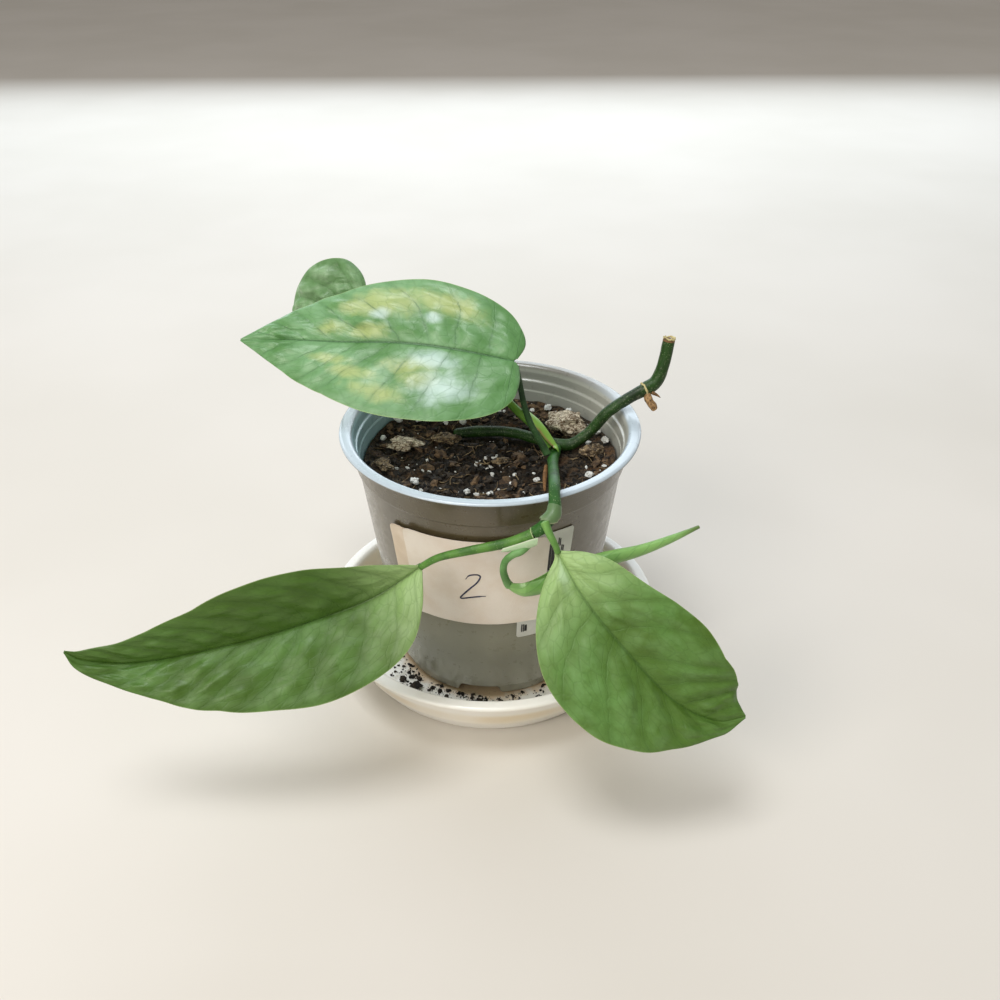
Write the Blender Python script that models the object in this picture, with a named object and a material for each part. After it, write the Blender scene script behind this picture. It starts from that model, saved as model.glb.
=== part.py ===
"""Young trailing aroid in a nursery pot: an old cutting, one shoot over the rim with five leaves."""

import functools
import math

import bmesh
import bpy
import numpy as np
from mathutils import Vector

# All sizes below are millimetres unless a name says degrees. The pot's axis is the Z axis, the
# table is z = 0, -Y is the front and +X the right.
MM = 0.001
GAP = 0.35  # clearance kept between two touching pieces

# Saucer, a shallow dish with a thick flat lip and low radial ribs on its floor
SAUCER_FOOT_R = 53.1
SAUCER_FOOT_BEVEL = 1.5
SAUCER_FLARE_R = 57.7
SAUCER_FLARE_Z = 8.0
SAUCER_RIM_R = 65.8
SAUCER_H = 23.5
SAUCER_LIP = 4.4
SAUCER_LIP_DEPTH = 4.2
SAUCER_EDGE = 0.6
SAUCER_FLOOR = 2.4
SAUCER_WALL = 2.2
RIB_COUNT = 16
RIB_H = 0.6
RIB_W = 1.0
RIB_FROM_R = 37.5
RIB_TO_R = 49.5
RIB_ROOT = 0.8  # how far a rib reaches into the floor it grows from

# Nursery pot: foot ring with drainage notches, tapering wall, stepped collar, flat lip
POT_BASE = SAUCER_FLOOR + RIB_H + GAP
FOOT_R = 36.4
FOOT_INNER_R = 34.2
FOOT_TOP = 8.4
FOOT_TAPER = 0.5
POT_UNDERSIDE = 8.2
WALL_LOW_R = 38.9
WALL_LOW_Z = 8.9
WALL_TOP_R = 48.9
WALL_TOP_Z = 90.3
COLLAR_R = 50.3
COLLAR_TOP = 101.2
RIM_R = 55.0
RIM_INNER_R = 50.8
RIM_TOP = 103.1
RIM_DROP = 1.5
RIM_EDGE = 0.5
POT_WALL = 1.2
POT_FLOOR_TOP = 9.8
POT_FLOOR_CORNER = 1.2
LEDGE_LOW_Z = 93.4
LEDGE_HIGH_Z = 97.6
LEDGE_STEP = 0.5
NOTCHES = 5
NOTCH_ANGLE = -98.0  # degrees, the first notch's middle
NOTCH_W = 16.0
NOTCH_SLOPE = 0.9
NOTCH_TOP = 6.9
DRAIN_R = 3.2
DRAIN_AT_R = 24.0
CUT_PAST = 2.0  # how far a cutter reaches past the wall it cuts

# Potting mix, a lumpy surface a little under the rim
SOIL_MEAN = 86.6
SOIL_EDGE_RISE = 2.6
SOIL_FRONT_DIP = 1.4
SOIL_R = 46.0
SOIL_LUMP = 0.7
SOIL_RINGS = 14
SOIL_AROUND = 48
GROOVE = 2.6  # flat ground kept beside a stem before the mix rises again

# Labels wrapped on the wall: from angle, to angle (degrees), bottom, top, lift off the wall
STICKER = (-78.0, -54.0, 36.0, 84.3, 0.35)
LABEL_LOW = (-136.5, -96.0, 44.6, 83.0, 0.85)
LABEL_TOP = (-128.0, -66.0, 44.9, 84.3, 1.4)
STICKER_CORNER = 0.4
LABEL_CORNER = 1.2
PAPER = 0.2
LABEL_ROWS = (0.0, 0.06, 0.3, 0.7, 0.94, 1.0)

# Stems and stalks: points along the middle, then the radius at the start and at the end
OLD_STEM = ((-14.5, 19.4, 87.5), (-6, 20.0, 88.2), (4, 19.2, 88.7), (11, 16.4, 89.1),
            (17.2, 12.2, 89.3), (24.9, 7, 89.7), (31, 6.2, 90.3), (37.6, 7, 95.2), (43.8, 7, 103.2),
            (51.2, 8, 108.5), (58, 10, 112.1))
OLD_STEM_R = (2.0, 2.3)
STUB = ((58, 10, 112.1), (61.3, 10.6, 115.0), (63.2, 11.6, 121.0), (64.4, 13, 129.3))
SCAR_R = 2.95
SCAR_LENGTH = 1.3
DRY_ROOT = ((59.1, 7.9, 109.6), (60.5, 6.9, 107.3), (61.5, 6.5, 105.3), (62.0, 6.2, 104.0))
DRY_ROOT_R = (1.6, 1.0)
SHOOT = ((24.7, 4.3, 89.6), (24.0, -1.0, 90.1), (22.9, -7, 90.9), (22.0, -24, 96.6),
         (21.4, -35, 101.6), (20.9, -43, 105.0), (20.7, -48, 106.1), (20.4, -52.5, 106.0),
         (20.3, -56.5, 104.9), (20.1, -59.6, 103.7), (19.1, -61.6, 102.4), (17.2, -62.4, 100.7),
         (15.7, -62.6, 98.2), (14.6, -62.5, 95.4))
SHOOT_R = (1.75, 1.7)
AERIAL_ROOT = ((20.3, -9.4, 90.2), (19.7, -14, 89.7), (19.3, -19, 88.9), (19.2, -23, 87.6))
AERIAL_ROOT_R = (0.7, 0.6)
STALKS = {
    "back": ((22.6, 0.9, 91.7), (17.6, 4.2, 97.6), (10.8, 9.5, 102.2), (5.3, 14, 106.0),
             (-8, 23, 116.5), (-24, 31, 128), (-37, 36.5, 135.0), (-45.6, 39.9, 136.7)),
    "top": ((21.0, -5.8, 92.4), (19.7, -5, 94.9), (16.7, -4.2, 100.4), (14.3, -3.6, 105.3),
            (12.2, -2.8, 112), (10.4, -1.4, 121), (9.3, -0.4, 126.3)),
    "right": ((17.5, -65.3, 101.3), (18.6, -66.6, 99.0), (20.4, -67, 95.6), (20.8, -66.4, 93.2)),
    "left": ((12.4, -62.5, 94.9), (6, -62.5, 93.5), (-6.8, -63, 91.2), (-16.6, -62, 87.6),
             (-22.1, -60.4, 83.3)),
    "new": ((10.8, -64.9, 90.9), (7.6, -65.2, 90.8), (5.2, -65.2, 89.3), (4.0, -65.0, 85.3),
            (4.3, -64.0, 80.9), (5.0, -62.6, 77.5)),
}
STALK_R = {"back": (1.7, 1.1), "top": (1.35, 0.95), "right": (1.2, 1.0), "left": (1.45, 1.0),
           "new": (1.05, 0.95)}
STALK_FINISH = {"back": "stalk_green", "top": "stalk_dark", "right": "stalk_green",
                "left": "shoot_green", "new": "stalk_green"}
STEM_STEPS = 38
STALK_STEPS = 16

# Sheaths: thin strips bent round a stalk or the stem. Each has its path, its radius and its width
# in degrees along the way, the side it is open to in degrees, and its finish
SHEATHS = {
    "back": (STALKS["back"][:3], (2.2, 2.6, 2.3), (150, 190, 90), 170.0, "stalk_green"),
    "left": (STALKS["left"][:2] + ((1.0, -62.6, 92.6),), (2.35, 2.2, 1.95), (130, 120, 60), -60.0,
             "pale_skin"),
    "right": (((20.3, -57.4, 104.6), (20.1, -59.4, 103.7), (19.3, -61.3, 102.5)),
              (2.35, 2.5, 2.8), (250, 240, 190), -90.0, "dry_skin"),
}
SKIN = 0.35  # thickness of a sheath and of the rolled leaf

# Leaf blades: the midrib's points, then half-widths far from and near to the viewer at STATIONS.
# rise and fall are the angles of the two halves in degrees, arch is the bulge across a half
STATIONS = (0.0, 0.03, 0.08, 0.15, 0.28, 0.42, 0.56, 0.70, 0.82, 0.92, 1.0)
BLADE_T = 0.6
BLADE_ROWS = 17
HALF_COLS = 4
NARROW = 12.0  # half-width under which the arch fades out
BLADES = {
    "left": {
        "midrib": ((-23, -60, 82.3), (-38.6, -62.5, 72), (-56, -66, 66.2), (-74.4, -70, 62.1),
                   (-94, -74, 59.4), (-114.6, -77, 57.6), (-135, -80, 63)),
        "far": (0.5, 3.5, 8.1, 14.2, 22.4, 25.2, 21.1, 15.0, 8.6, 2.9, 0.4),
        "near": (0.5, 4.9, 12.7, 21.2, 27.3, 26.7, 23.0, 15.5, 9.4, 5.0, 0.4),
        "rise": 92.0, "fall": 40.0, "arch": 1.0},
    "top": {
        "midrib": ((8.6, 0, 127.6), (-11, 4, 130.2), (-30.5, 8, 131.2), (-53.4, 12, 130),
                   (-72.7, 16, 129.2), (-91.1, 18, 128.4)),
        "far": (4.0, 9.8, 14.7, 19.9, 24.9, 25.4, 22.3, 16.1, 10.0, 4.7, 0.4),
        "near": (3.0, 10.4, 19.2, 25.1, 29.1, 29.1, 24.4, 17.6, 11.1, 5.1, 0.4),
        "rise": 42.0, "fall": 38.0, "arch": 1.6},
    "right": {
        "midrib": ((21.1, -66, 91.8), (29.2, -75, 80.3), (42.3, -84, 66.4), (57.4, -91, 51.7),
                   (71, -93.5, 45), (81.1, -92, 44.9)),
        "far": (1.0, 3.8, 9.1, 14.7, 20.6, 27.6, 27.8, 21.6, 15.1, 9.2, 0.4),
        "near": (1.0, 2.6, 7.4, 14.0, 25.5, 29.3, 24.4, 15.3, 8.0, 3.5, 0.4),
        "rise": 56.0, "fall": 42.0, "arch": 1.4, "mirror": True},
    "back": {
        "midrib": ((-47.0, 40.5, 137.2), (-54, 42, 135.7), (-62, 44, 130.7), (-69, 47, 122.5),
                   (-75, 50, 111), (-78, 52.5, 101)),
        "far": (2.0, 7.0, 11.0, 14.0, 16.8, 17.4, 15.5, 12.0, 8.0, 3.5, 0.4),
        "near": (1.0, 5.0, 9.0, 12.5, 15.5, 16.0, 14.5, 11.0, 7.0, 3.5, 0.4),
        "rise": 66.0, "fall": 46.0, "arch": 2.2},
}
LEAN = (-25.0, 38.0)  # side veins lean back at the base and forward from half way (degrees)
LEAN_SETTLED = 0.5

# The youngest leaf, still rolled: axis points, then the roll's radius and its turn at ROLL_STATIONS
ROLL_AXIS = ((5.3, -62.2, 76.6), (10.5, -61, 75.0), (18, -60, 76.3), (36, -56, 81.4),
             (49.5, -53, 83.3), (60, -50.5, 86), (69.5, -48, 89.0))
ROLL_STATIONS = (0.0, 0.08, 0.2, 0.5, 0.67, 0.83, 1.0)
ROLL_R = (1.3, 3.9, 4.2, 3.0, 2.2, 1.5, 0.5)
ROLL_TURN = (150.0, 205.0, 230.0, 360.0, 430.0, 430.0, 400.0)
ROLL_MOST = 430.0
ROLL_TIGHTER = 0.40  # share of its radius that the roll loses over its largest turn
ROLL_OPEN_AT = 70.0
ROLL_STEPS = 14

# Grains of perlite on the mix: x, y, radius
PERLITE = ((-36.1, 26.0, 1.7), (-28.5, 28.0, 1.3), (-10.8, 27.6, 1.4), (-17.6, 27.0, 1.1),
           (-41.0, 12.9, 1.2), (-27.3, -17.3, 1.5), (-8.5, -23.0, 1.2), (16.6, -15.6, 1.1),
           (23.4, 36.2, 1.5), (17.0, 35.2, 1.0), (31.6, 31.9, 1.4), (41.6, 16.2, 1.4),
           (43.6, 8.4, 1.4), (35.7, -15.0, 1.4))
PERLITE_SHAPE = (2.0, 1.8, 1.6)  # length, width and height of a grain in its radii
PERLITE_TURN = 30.0
# Lumps of bark and fibre: x, y, length, width, height, turn (degrees)
BARK = ((30.2, 19.2, 14, 13, 7.5, 20), (-33.0, 8.0, 12, 8, 3.6, 10), (-17.2, 15.0, 9, 6, 3.2, -15),
        (38.5, 1.5, 9, 6, 3.0, 35), (-39.0, -7.5, 9, 5, 2.6, -60), (3.6, -2.0, 6, 4, 1.8, 15))
# Crumbs of mix fallen into the saucer: x, y, radius
CRUMBS = ((-30.0, -32.5, 2.0), (-35.3, -28.0, 1.4), (-5.2, -41.0, 1.2), (3.0, -41.5, 1.1))
CRUMB_SHAPE = (2.0, 1.7, 1.3)
CRUMB_TURN = 40.0
CRUMB_SEAT = 0.68  # height of a crumb's middle over the floor, in its radii
LUMP_DENTS = (0.10, 0.06)
SEAT_SHARES = (0.0, 0.35, 0.7, 0.95)

SEGMENTS = 48
TUBE_SIDES = 10
CURVE_STEPS = 24
SMALL = 1e-12

COLOURS = {
    "saucer_plastic": ((0.86, 0.86, 0.80), 0.38), "pot_plastic": ((0.17, 0.15, 0.11), 0.42),
    "paper": ((0.64, 0.54, 0.45), 0.85), "sticker_film": ((0.52, 0.50, 0.46), 0.55),
    "potting_mix": ((0.035, 0.026, 0.018), 0.95), "old_stem_green": ((0.03, 0.075, 0.018), 0.5),
    "shoot_green": ((0.07, 0.19, 0.05), 0.45), "stalk_green": ((0.10, 0.22, 0.05), 0.45),
    "stalk_dark": ((0.03, 0.07, 0.025), 0.45), "leaf_green": ((0.16, 0.30, 0.11), 0.35),
    "leaf_young": ((0.22, 0.42, 0.12), 0.4), "dry_skin": ((0.36, 0.27, 0.15), 0.8),
    "pale_skin": ((0.45, 0.57, 0.38), 0.5), "perlite_white": ((0.80, 0.82, 0.80), 0.9),
    "bark_brown": ((0.17, 0.12, 0.075), 0.95), "crumb_dark": ((0.02, 0.016, 0.012), 0.95),
}


def material(name):
    found = bpy.data.materials.get(name)
    if found:
        return found
    colour, roughness = COLOURS[name]
    made = bpy.data.materials.new(name)
    made.use_nodes = True
    shader = made.node_tree.nodes["Principled BSDF"]
    shader.inputs["Base Color"].default_value = (*colour, 1.0)
    shader.inputs["Roughness"].default_value = roughness
    shader.inputs["Metallic"].default_value = 0.0
    made.diffuse_color = (*colour, 1.0)
    return made


def add_piece(name, verts, faces, finish, smooth=True, at=(0, 0, 0)):
    """One named object from points in millimetres, placed at a point in millimetres."""
    mesh = bpy.data.meshes.new(name)
    mesh.from_pydata([Vector(v) * MM for v in verts], [], faces)
    bm = bmesh.new()
    bm.from_mesh(mesh)
    bmesh.ops.recalc_face_normals(bm, faces=bm.faces)
    bm.to_mesh(mesh)
    bm.free()
    mesh.shade_smooth() if smooth else mesh.shade_flat()
    mesh.materials.append(material(finish))
    piece = bpy.data.objects.new(name, mesh)
    piece.location = Vector(at) * MM
    bpy.context.scene.collection.objects.link(piece)
    return piece


def revolve(profile, segments=SEGMENTS):
    """Points and faces of a closed profile of (radius, height) turned about the axis."""
    verts, faces, rings = [], [], []
    for r, z in profile:
        if r == 0:
            rings.append([len(verts)] * segments)
            verts.append((0, 0, z))
            continue
        rings.append(list(range(len(verts), len(verts) + segments)))
        for k in range(segments):
            a = 2 * math.pi * k / segments
            verts.append((r * math.cos(a), r * math.sin(a), z))
    for one, two in zip(rings, rings[1:] + rings[:1]):
        if one[0] == one[1] and two[0] == two[1]:
            continue
        for k in range(segments):
            n = (k + 1) % segments
            corners = dict.fromkeys((one[k], one[n], two[n], two[k]))
            faces.append(tuple(corners))
    return verts, faces


def smooth_path(points, count):
    """Evenly spaced points on a smooth curve through the given ones, with their directions."""
    pts = np.array(points, float)
    ghosts = np.vstack([2 * pts[0] - pts[1], pts, 2 * pts[-1] - pts[-2]])
    fine = []
    for i in range(len(pts) - 1):
        a, b, c, d = ghosts[i : i + 4]
        for t in np.linspace(0, 1, CURVE_STEPS, endpoint=False):
            fine.append(0.5 * (2 * b + (c - a) * t + (2 * a - 5 * b + 4 * c - d) * t * t
                               + (3 * b - a - 3 * c + d) * t ** 3))
    fine.append(pts[-1])
    fine = np.array(fine)
    run = np.r_[0, np.cumsum(np.linalg.norm(np.diff(fine, axis=0), axis=1))]
    at = np.linspace(0, run[-1], count)
    path = np.stack([np.interp(at, run, fine[:, k]) for k in range(3)], 1)
    way = np.gradient(path, axis=0)
    return path, way / np.linalg.norm(way, axis=1, keepdims=True)


def carried_frames(way):
    """Two directions square to the path, carried along it without twisting."""
    side = np.cross(way[0], (0.0, 0.0, 1.0))
    sides = []
    for step in way:
        side = side - step * (side @ step)
        side = side / np.linalg.norm(side)
        sides.append(side)
    sides = np.array(sides)
    return sides, np.cross(way, sides)


def tube(points, radii, count, sides=TUBE_SIDES):
    """A round stem along the points, its radius running evenly from the first to the last."""
    path, way = smooth_path(points, count)
    across, up = carried_frames(way)
    verts, faces = [], []
    for i, (p, r) in enumerate(zip(path, np.linspace(radii[0], radii[1], count))):
        for k in range(sides):
            a = 2 * math.pi * k / sides
            verts.append(p + r * (math.cos(a) * across[i] + math.sin(a) * up[i]))
    for i in range(count - 1):
        for k in range(sides):
            n = (k + 1) % sides
            faces.append((i * sides + k, i * sides + n, (i + 1) * sides + n, (i + 1) * sides + k))
    faces.append(tuple(range(sides)))
    faces.append(tuple(range((count - 1) * sides, count * sides)))
    return verts, faces


def sheet(grid, thickness):
    """A closed thin body around a grid of points, half the thickness to each side."""
    rows, cols = grid.shape[:2]
    out = np.cross(np.gradient(grid, axis=0), np.gradient(grid, axis=1))
    out /= np.linalg.norm(out, axis=2, keepdims=True) + SMALL
    front = (grid + out * thickness / 2).reshape(-1, 3)
    rear = (grid - out * thickness / 2).reshape(-1, 3)
    verts = list(front) + list(rear)
    shift = rows * cols
    faces = []
    for i in range(rows - 1):
        for j in range(cols - 1):
            a, d = i * cols + j, (i + 1) * cols + j
            faces.append((a, a + 1, d + 1, d))
            faces.append((d + shift, d + 1 + shift, a + 1 + shift, a + shift))
    edge = [(i, 0) for i in range(rows)] + [(rows - 1, j) for j in range(1, cols)]
    edge += [(i, cols - 1) for i in range(rows - 2, -1, -1)] + [(0, j) for j in range(cols - 2, 0, -1)]
    loop = [i * cols + j for i, j in edge]
    for a, b in zip(loop, loop[1:] + loop[:1]):
        faces.append((a, b, b + shift, a + shift))
    return verts, faces


def wall_radius(z):
    """Outside radius of the pot's tapering wall at a height."""
    share = (z - WALL_LOW_Z) / (WALL_TOP_Z - WALL_LOW_Z)
    return WALL_LOW_R + (WALL_TOP_R - WALL_LOW_R) * share


def helper(target, verts, faces, operation):
    """A hidden body joined to or cut from the target."""
    tool = add_piece(f"tool_{len(bpy.data.objects)}", verts, faces, "pot_plastic", smooth=False)
    tool.hide_render = True
    tool.display_type = "WIRE"
    change = target.modifiers.new(tool.name, "BOOLEAN")
    change.operation = operation
    change.object = tool
    change.solver = "EXACT"


def block(corners, angle):
    """Points and faces of a six-sided block from (radius, sideways, height) corners at an angle."""
    cos, sin = math.cos(angle), math.sin(angle)
    verts = [(r * cos - w * sin, r * sin + w * cos, z) for r, w, z in corners]
    faces = [(0, 1, 3, 2), (4, 6, 7, 5), (0, 4, 5, 1), (2, 3, 7, 6), (0, 2, 6, 4), (1, 5, 7, 3)]
    return verts, faces


def saucer_profile():
    rim, top, edge = SAUCER_RIM_R, SAUCER_H, SAUCER_EDGE
    inside = SAUCER_FOOT_R - SAUCER_WALL
    lip_in = rim - SAUCER_LIP
    return [
        (0, 0), (SAUCER_FOOT_R - SAUCER_FOOT_BEVEL, 0), (SAUCER_FOOT_R, SAUCER_FOOT_BEVEL / 2),
        (SAUCER_FLARE_R, SAUCER_FLARE_Z), (rim - 5 * edge, top - SAUCER_LIP_DEPTH),
        (rim - 2 * edge, top - SAUCER_LIP_DEPTH / 2), (rim, top - 2 * edge), (rim, top - edge),
        (rim - edge, top), (lip_in, top), (lip_in - edge, top - edge),
        (inside + 4.0, SAUCER_FLARE_Z + edge), (inside + 1.0, SAUCER_FLOOR + 1.2),
        (inside - edge, SAUCER_FLOOR), (0, SAUCER_FLOOR),
    ]


def make_saucer():
    dish = add_piece("saucer", *revolve(saucer_profile()), "saucer_plastic")
    corners = [(r, w, z) for r in (RIB_FROM_R, RIB_TO_R) for w in (-RIB_W / 2, RIB_W / 2)
               for z in (SAUCER_FLOOR - RIB_ROOT, SAUCER_FLOOR + RIB_H)]
    for k in range(RIB_COUNT):
        helper(dish, *block(corners, 2 * math.pi * (k + 0.5) / RIB_COUNT), "UNION")


def pot_profile():
    """Outline from the underside's middle, up the outside, over the rim and down the inside."""
    edge, step = RIM_EDGE, LEDGE_STEP
    high_ledge_r = RIM_INNER_R - POT_WALL
    low_ledge_r = high_ledge_r - 2 * step
    below = LEDGE_LOW_Z - step
    middle = (WALL_LOW_Z + WALL_TOP_Z) / 2
    corner = POT_FLOOR_TOP + POT_FLOOR_CORNER
    return [
        (0, POT_UNDERSIDE), (FOOT_INNER_R, POT_UNDERSIDE), (FOOT_INNER_R, POT_BASE),
        (FOOT_R, POT_BASE), (FOOT_R + FOOT_TAPER, FOOT_TOP), (WALL_LOW_R, WALL_LOW_Z),
        (wall_radius(middle), middle), (WALL_TOP_R, WALL_TOP_Z), (COLLAR_R - edge, WALL_TOP_Z + edge),
        (COLLAR_R, COLLAR_TOP), (RIM_R - edge, RIM_TOP - RIM_DROP), (RIM_R, RIM_TOP - RIM_DROP + edge),
        (RIM_R, RIM_TOP - edge), (RIM_R - edge, RIM_TOP), (RIM_INNER_R + edge, RIM_TOP),
        (RIM_INNER_R, RIM_TOP - edge), (high_ledge_r, COLLAR_TOP - 2 * edge),
        (high_ledge_r, LEDGE_HIGH_Z), (low_ledge_r, LEDGE_HIGH_Z - step), (low_ledge_r, LEDGE_LOW_Z),
        (wall_radius(below) - POT_WALL, below), (wall_radius(middle) - POT_WALL, middle),
        (wall_radius(corner) - POT_WALL, corner),
        (wall_radius(POT_FLOOR_TOP) - POT_WALL - POT_FLOOR_CORNER, POT_FLOOR_TOP), (0, POT_FLOOR_TOP),
    ]


def make_pot():
    pot = add_piece("pot", *revolve(pot_profile()), "pot_plastic")
    for k in range(NOTCHES):
        angle = math.radians(NOTCH_ANGLE + 360.0 / NOTCHES * k)
        cut_notch(pot, angle)
        cut_drain(pot, angle + math.pi / NOTCHES)


def cut_notch(pot, angle):
    """One drainage notch through the foot ring, a little narrower at its top."""
    half = NOTCH_W / 2
    sides = ((half + NOTCH_SLOPE, POT_BASE - CUT_PAST), (half - NOTCH_SLOPE, NOTCH_TOP))
    corners = [(r, w * s, z) for r in (FOOT_INNER_R - CUT_PAST, FOOT_R + CUT_PAST) for s in (-1, 1)
               for w, z in sides]
    helper(pot, *block(corners, angle), "DIFFERENCE")


def cut_drain(pot, angle):
    """One round hole through the pot's floor."""
    x, y = DRAIN_AT_R * math.cos(angle), DRAIN_AT_R * math.sin(angle)
    low, high = POT_UNDERSIDE - CUT_PAST, POT_FLOOR_TOP + CUT_PAST
    verts, faces = revolve([(0, low), (DRAIN_R, low), (DRAIN_R, high), (0, high)], SEGMENTS // 3)
    helper(pot, [(a + x, b + y, c) for a, b, c in verts], faces, "DIFFERENCE")


def lumps(x, y):
    """A fixed unevenness between about -1 and 1, from a few crossing waves."""
    return (math.sin(0.31 * x + 1.3) * math.cos(0.27 * y - 0.4) * 0.6
            + math.sin(0.55 * x - 0.43 * y + 2.1) * 0.4 + math.cos(0.83 * y + 0.2 * x) * 0.25)


def pressed(x, y, height, path, radius):
    """Keeps the mix clear under a stem that lies on it."""
    flat = np.hypot(path[:, 0] - x, path[:, 1] - y)
    limit = path[:, 2] - radius - GAP + np.maximum(0, flat - radius - GROOVE)
    return min(height, limit.min())


@functools.cache
def lying_stems():
    """Paths and radii of the stems that lie on the mix."""
    stems = ((OLD_STEM, OLD_STEM_R[1]), (SHOOT, SHOOT_R[0]), (AERIAL_ROOT, AERIAL_ROOT_R[0]))
    return [(smooth_path(points, 2 * STEM_STEPS)[0], radius) for points, radius in stems]


def soil_height(x, y):
    """Height of the mix: fuller at the wall, lower at the front, clear under the stems."""
    rise = SOIL_EDGE_RISE * (math.hypot(x, y) / SOIL_R) ** 3
    dip = SOIL_FRONT_DIP * max(0.0, -y / SOIL_R) ** 2
    height = SOIL_MEAN + rise - dip + SOIL_LUMP * lumps(x, y)
    for path, radius in lying_stems():
        height = pressed(x, y, height, path, radius)
    return height


def make_soil():
    """Fills the pot to a lumpy top; the sides follow the inside of the wall."""
    bottom = POT_FLOOR_TOP + GAP
    corner = bottom + POT_FLOOR_CORNER + GAP
    inside = POT_WALL + GAP
    top_r = wall_radius(SOIL_MEAN) - 2 * inside + POT_WALL
    low_r = wall_radius(corner) - inside - GAP
    around = [2 * math.pi * k / SOIL_AROUND for k in range(SOIL_AROUND)]
    verts, faces = [(0, 0, soil_height(0, 0))], []
    for i in range(1, SOIL_RINGS + 1):
        r = top_r * i / SOIL_RINGS
        for a in around:
            x, y = r * math.cos(a), r * math.sin(a)
            verts.append((x, y, soil_height(x, y)))
    for r, z in ((low_r, corner), (low_r - POT_FLOOR_CORNER - GAP, bottom)):
        verts += [(r * math.cos(a), r * math.sin(a), z) for a in around]
    verts.append((0, 0, bottom))
    last = len(verts) - 1
    foot = last - SOIL_AROUND
    for k in range(SOIL_AROUND):
        n = (k + 1) % SOIL_AROUND
        faces.append((0, 1 + k, 1 + n))
        for a in range(1, foot, SOIL_AROUND):
            faces.append((a + k, a + SOIL_AROUND + k, a + SOIL_AROUND + n, a + n))
        faces.append((foot + k, last, foot + n))
    return add_piece("soil", verts, faces, "potting_mix")


def make_label(name, spec, finish, corner, steps=11):
    """A thin rectangle with clipped corners, wrapped around the tapering wall."""
    first, last, low, high, lift = spec
    cut = math.degrees(corner / wall_radius(low))
    grid = []
    for share in LABEL_ROWS:
        z = low + (high - low) * share
        inset = cut if share in (0.0, 1.0) else 0.0
        r = wall_radius(z) + lift + PAPER / 2
        grid.append([(r * math.cos(a), r * math.sin(a), z)
                     for a in np.radians(np.linspace(first + inset, last - inset, steps))])
    add_piece(name, *sheet(np.array(grid), PAPER), finish)


def half_directions(way, spec):
    """Directions from the midrib into the far and near halves, and the blade's upper side."""
    level = np.cross(way, (0.0, 0.0, 1.0))
    level /= np.linalg.norm(level)
    up = np.cross(level, way)
    if spec.get("mirror"):
        level = -level
    rise, fall = math.radians(spec["rise"]), math.radians(spec["fall"])
    far = math.cos(rise) * level + math.sin(rise) * up
    near = -math.cos(fall) * level - math.sin(fall) * up
    face = np.cross(way, far) + np.cross(near, way)
    face /= np.linalg.norm(face)
    return far, near, face if face[2] > 0 else -face


def blade_grid(spec):
    """Points of a blade: rows run from base to tip, columns from the far edge to the near one."""
    path, way = smooth_path(spec["midrib"], BLADE_ROWS)
    grid = []
    for i, share in enumerate(np.linspace(0, 1, BLADE_ROWS)):
        lean = math.radians(np.interp(share, (0, LEAN_SETTLED), LEAN))
        far, near, face = half_directions(way[i], spec)
        row = []
        for out, side, order in ((far, "far", range(HALF_COLS, 0, -1)), (near, "near", range(HALF_COLS + 1))):
            width = np.interp(share, STATIONS, spec[side])
            leaned = out * math.cos(lean) + way[i] * math.sin(lean)
            for k in order:
                s = k / HALF_COLS
                arch = spec["arch"] * 4 * s * (1 - s) * min(1.0, width / NARROW)
                row.append(path[i] + leaned * width * s + face * arch)
        grid.append(row)
    return np.array(grid)


def make_rolled_blade():
    """The youngest leaf: a tapering sheet rolled about its axis, open like a trough at its base."""
    path, way = smooth_path(ROLL_AXIS, ROLL_STEPS)
    across, up = carried_frames(way)
    grid = []
    for i, share in enumerate(np.linspace(0, 1, ROLL_STEPS)):
        radius = np.interp(share, ROLL_STATIONS, ROLL_R)
        turn = np.interp(share, ROLL_STATIONS, ROLL_TURN)
        row = []
        for part in np.linspace(0, turn, ROLL_STEPS):
            a = math.radians(ROLL_OPEN_AT + part)
            r = radius * (1.0 - ROLL_TIGHTER * part / ROLL_MOST)
            row.append(path[i] + r * (math.cos(a) * across[i] + math.sin(a) * up[i]))
        grid.append(row)
    add_piece("blade_new", *sheet(np.array(grid), SKIN), "leaf_young")


def make_sheath(name, rows=9, cols=7):
    """A thin strip bent round a stalk, open on one side."""
    points, radii, widths, open_to, finish = SHEATHS[name]
    path, way = smooth_path(points, rows)
    across, up = carried_frames(way)
    marks = np.linspace(0, 1, len(radii))
    grid = []
    for i, share in enumerate(np.linspace(0, 1, rows)):
        r = np.interp(share, marks, radii)
        half = np.interp(share, marks, widths) / 2
        back = open_to + 180
        grid.append([path[i] + r * (math.cos(a) * across[i] + math.sin(a) * up[i])
                     for a in np.radians(np.linspace(back - half, back + half, cols))])
    add_piece(f"sheath_{name}", *sheet(np.array(grid), SKIN), finish)


def make_scar():
    """The ring of dry skin where the old stem was cut back above its last node."""
    axis = (Vector(STUB[1]) - Vector(OLD_STEM[-2])).normalized()
    turn = Vector((0, 0, 1)).rotation_difference(axis).to_matrix()
    inner, half, bevel = OLD_STEM_R[1] + GAP, SCAR_LENGTH / 2, SKIN / 2
    profile = [(inner, -half), (SCAR_R, bevel - half), (SCAR_R, half - bevel), (inner, half)]
    verts, faces = revolve(profile, 2 * TUBE_SIDES)
    add_piece("old_stem_scar", [turn @ Vector(v) for v in verts], faces, "dry_skin", at=STUB[0])


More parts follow.
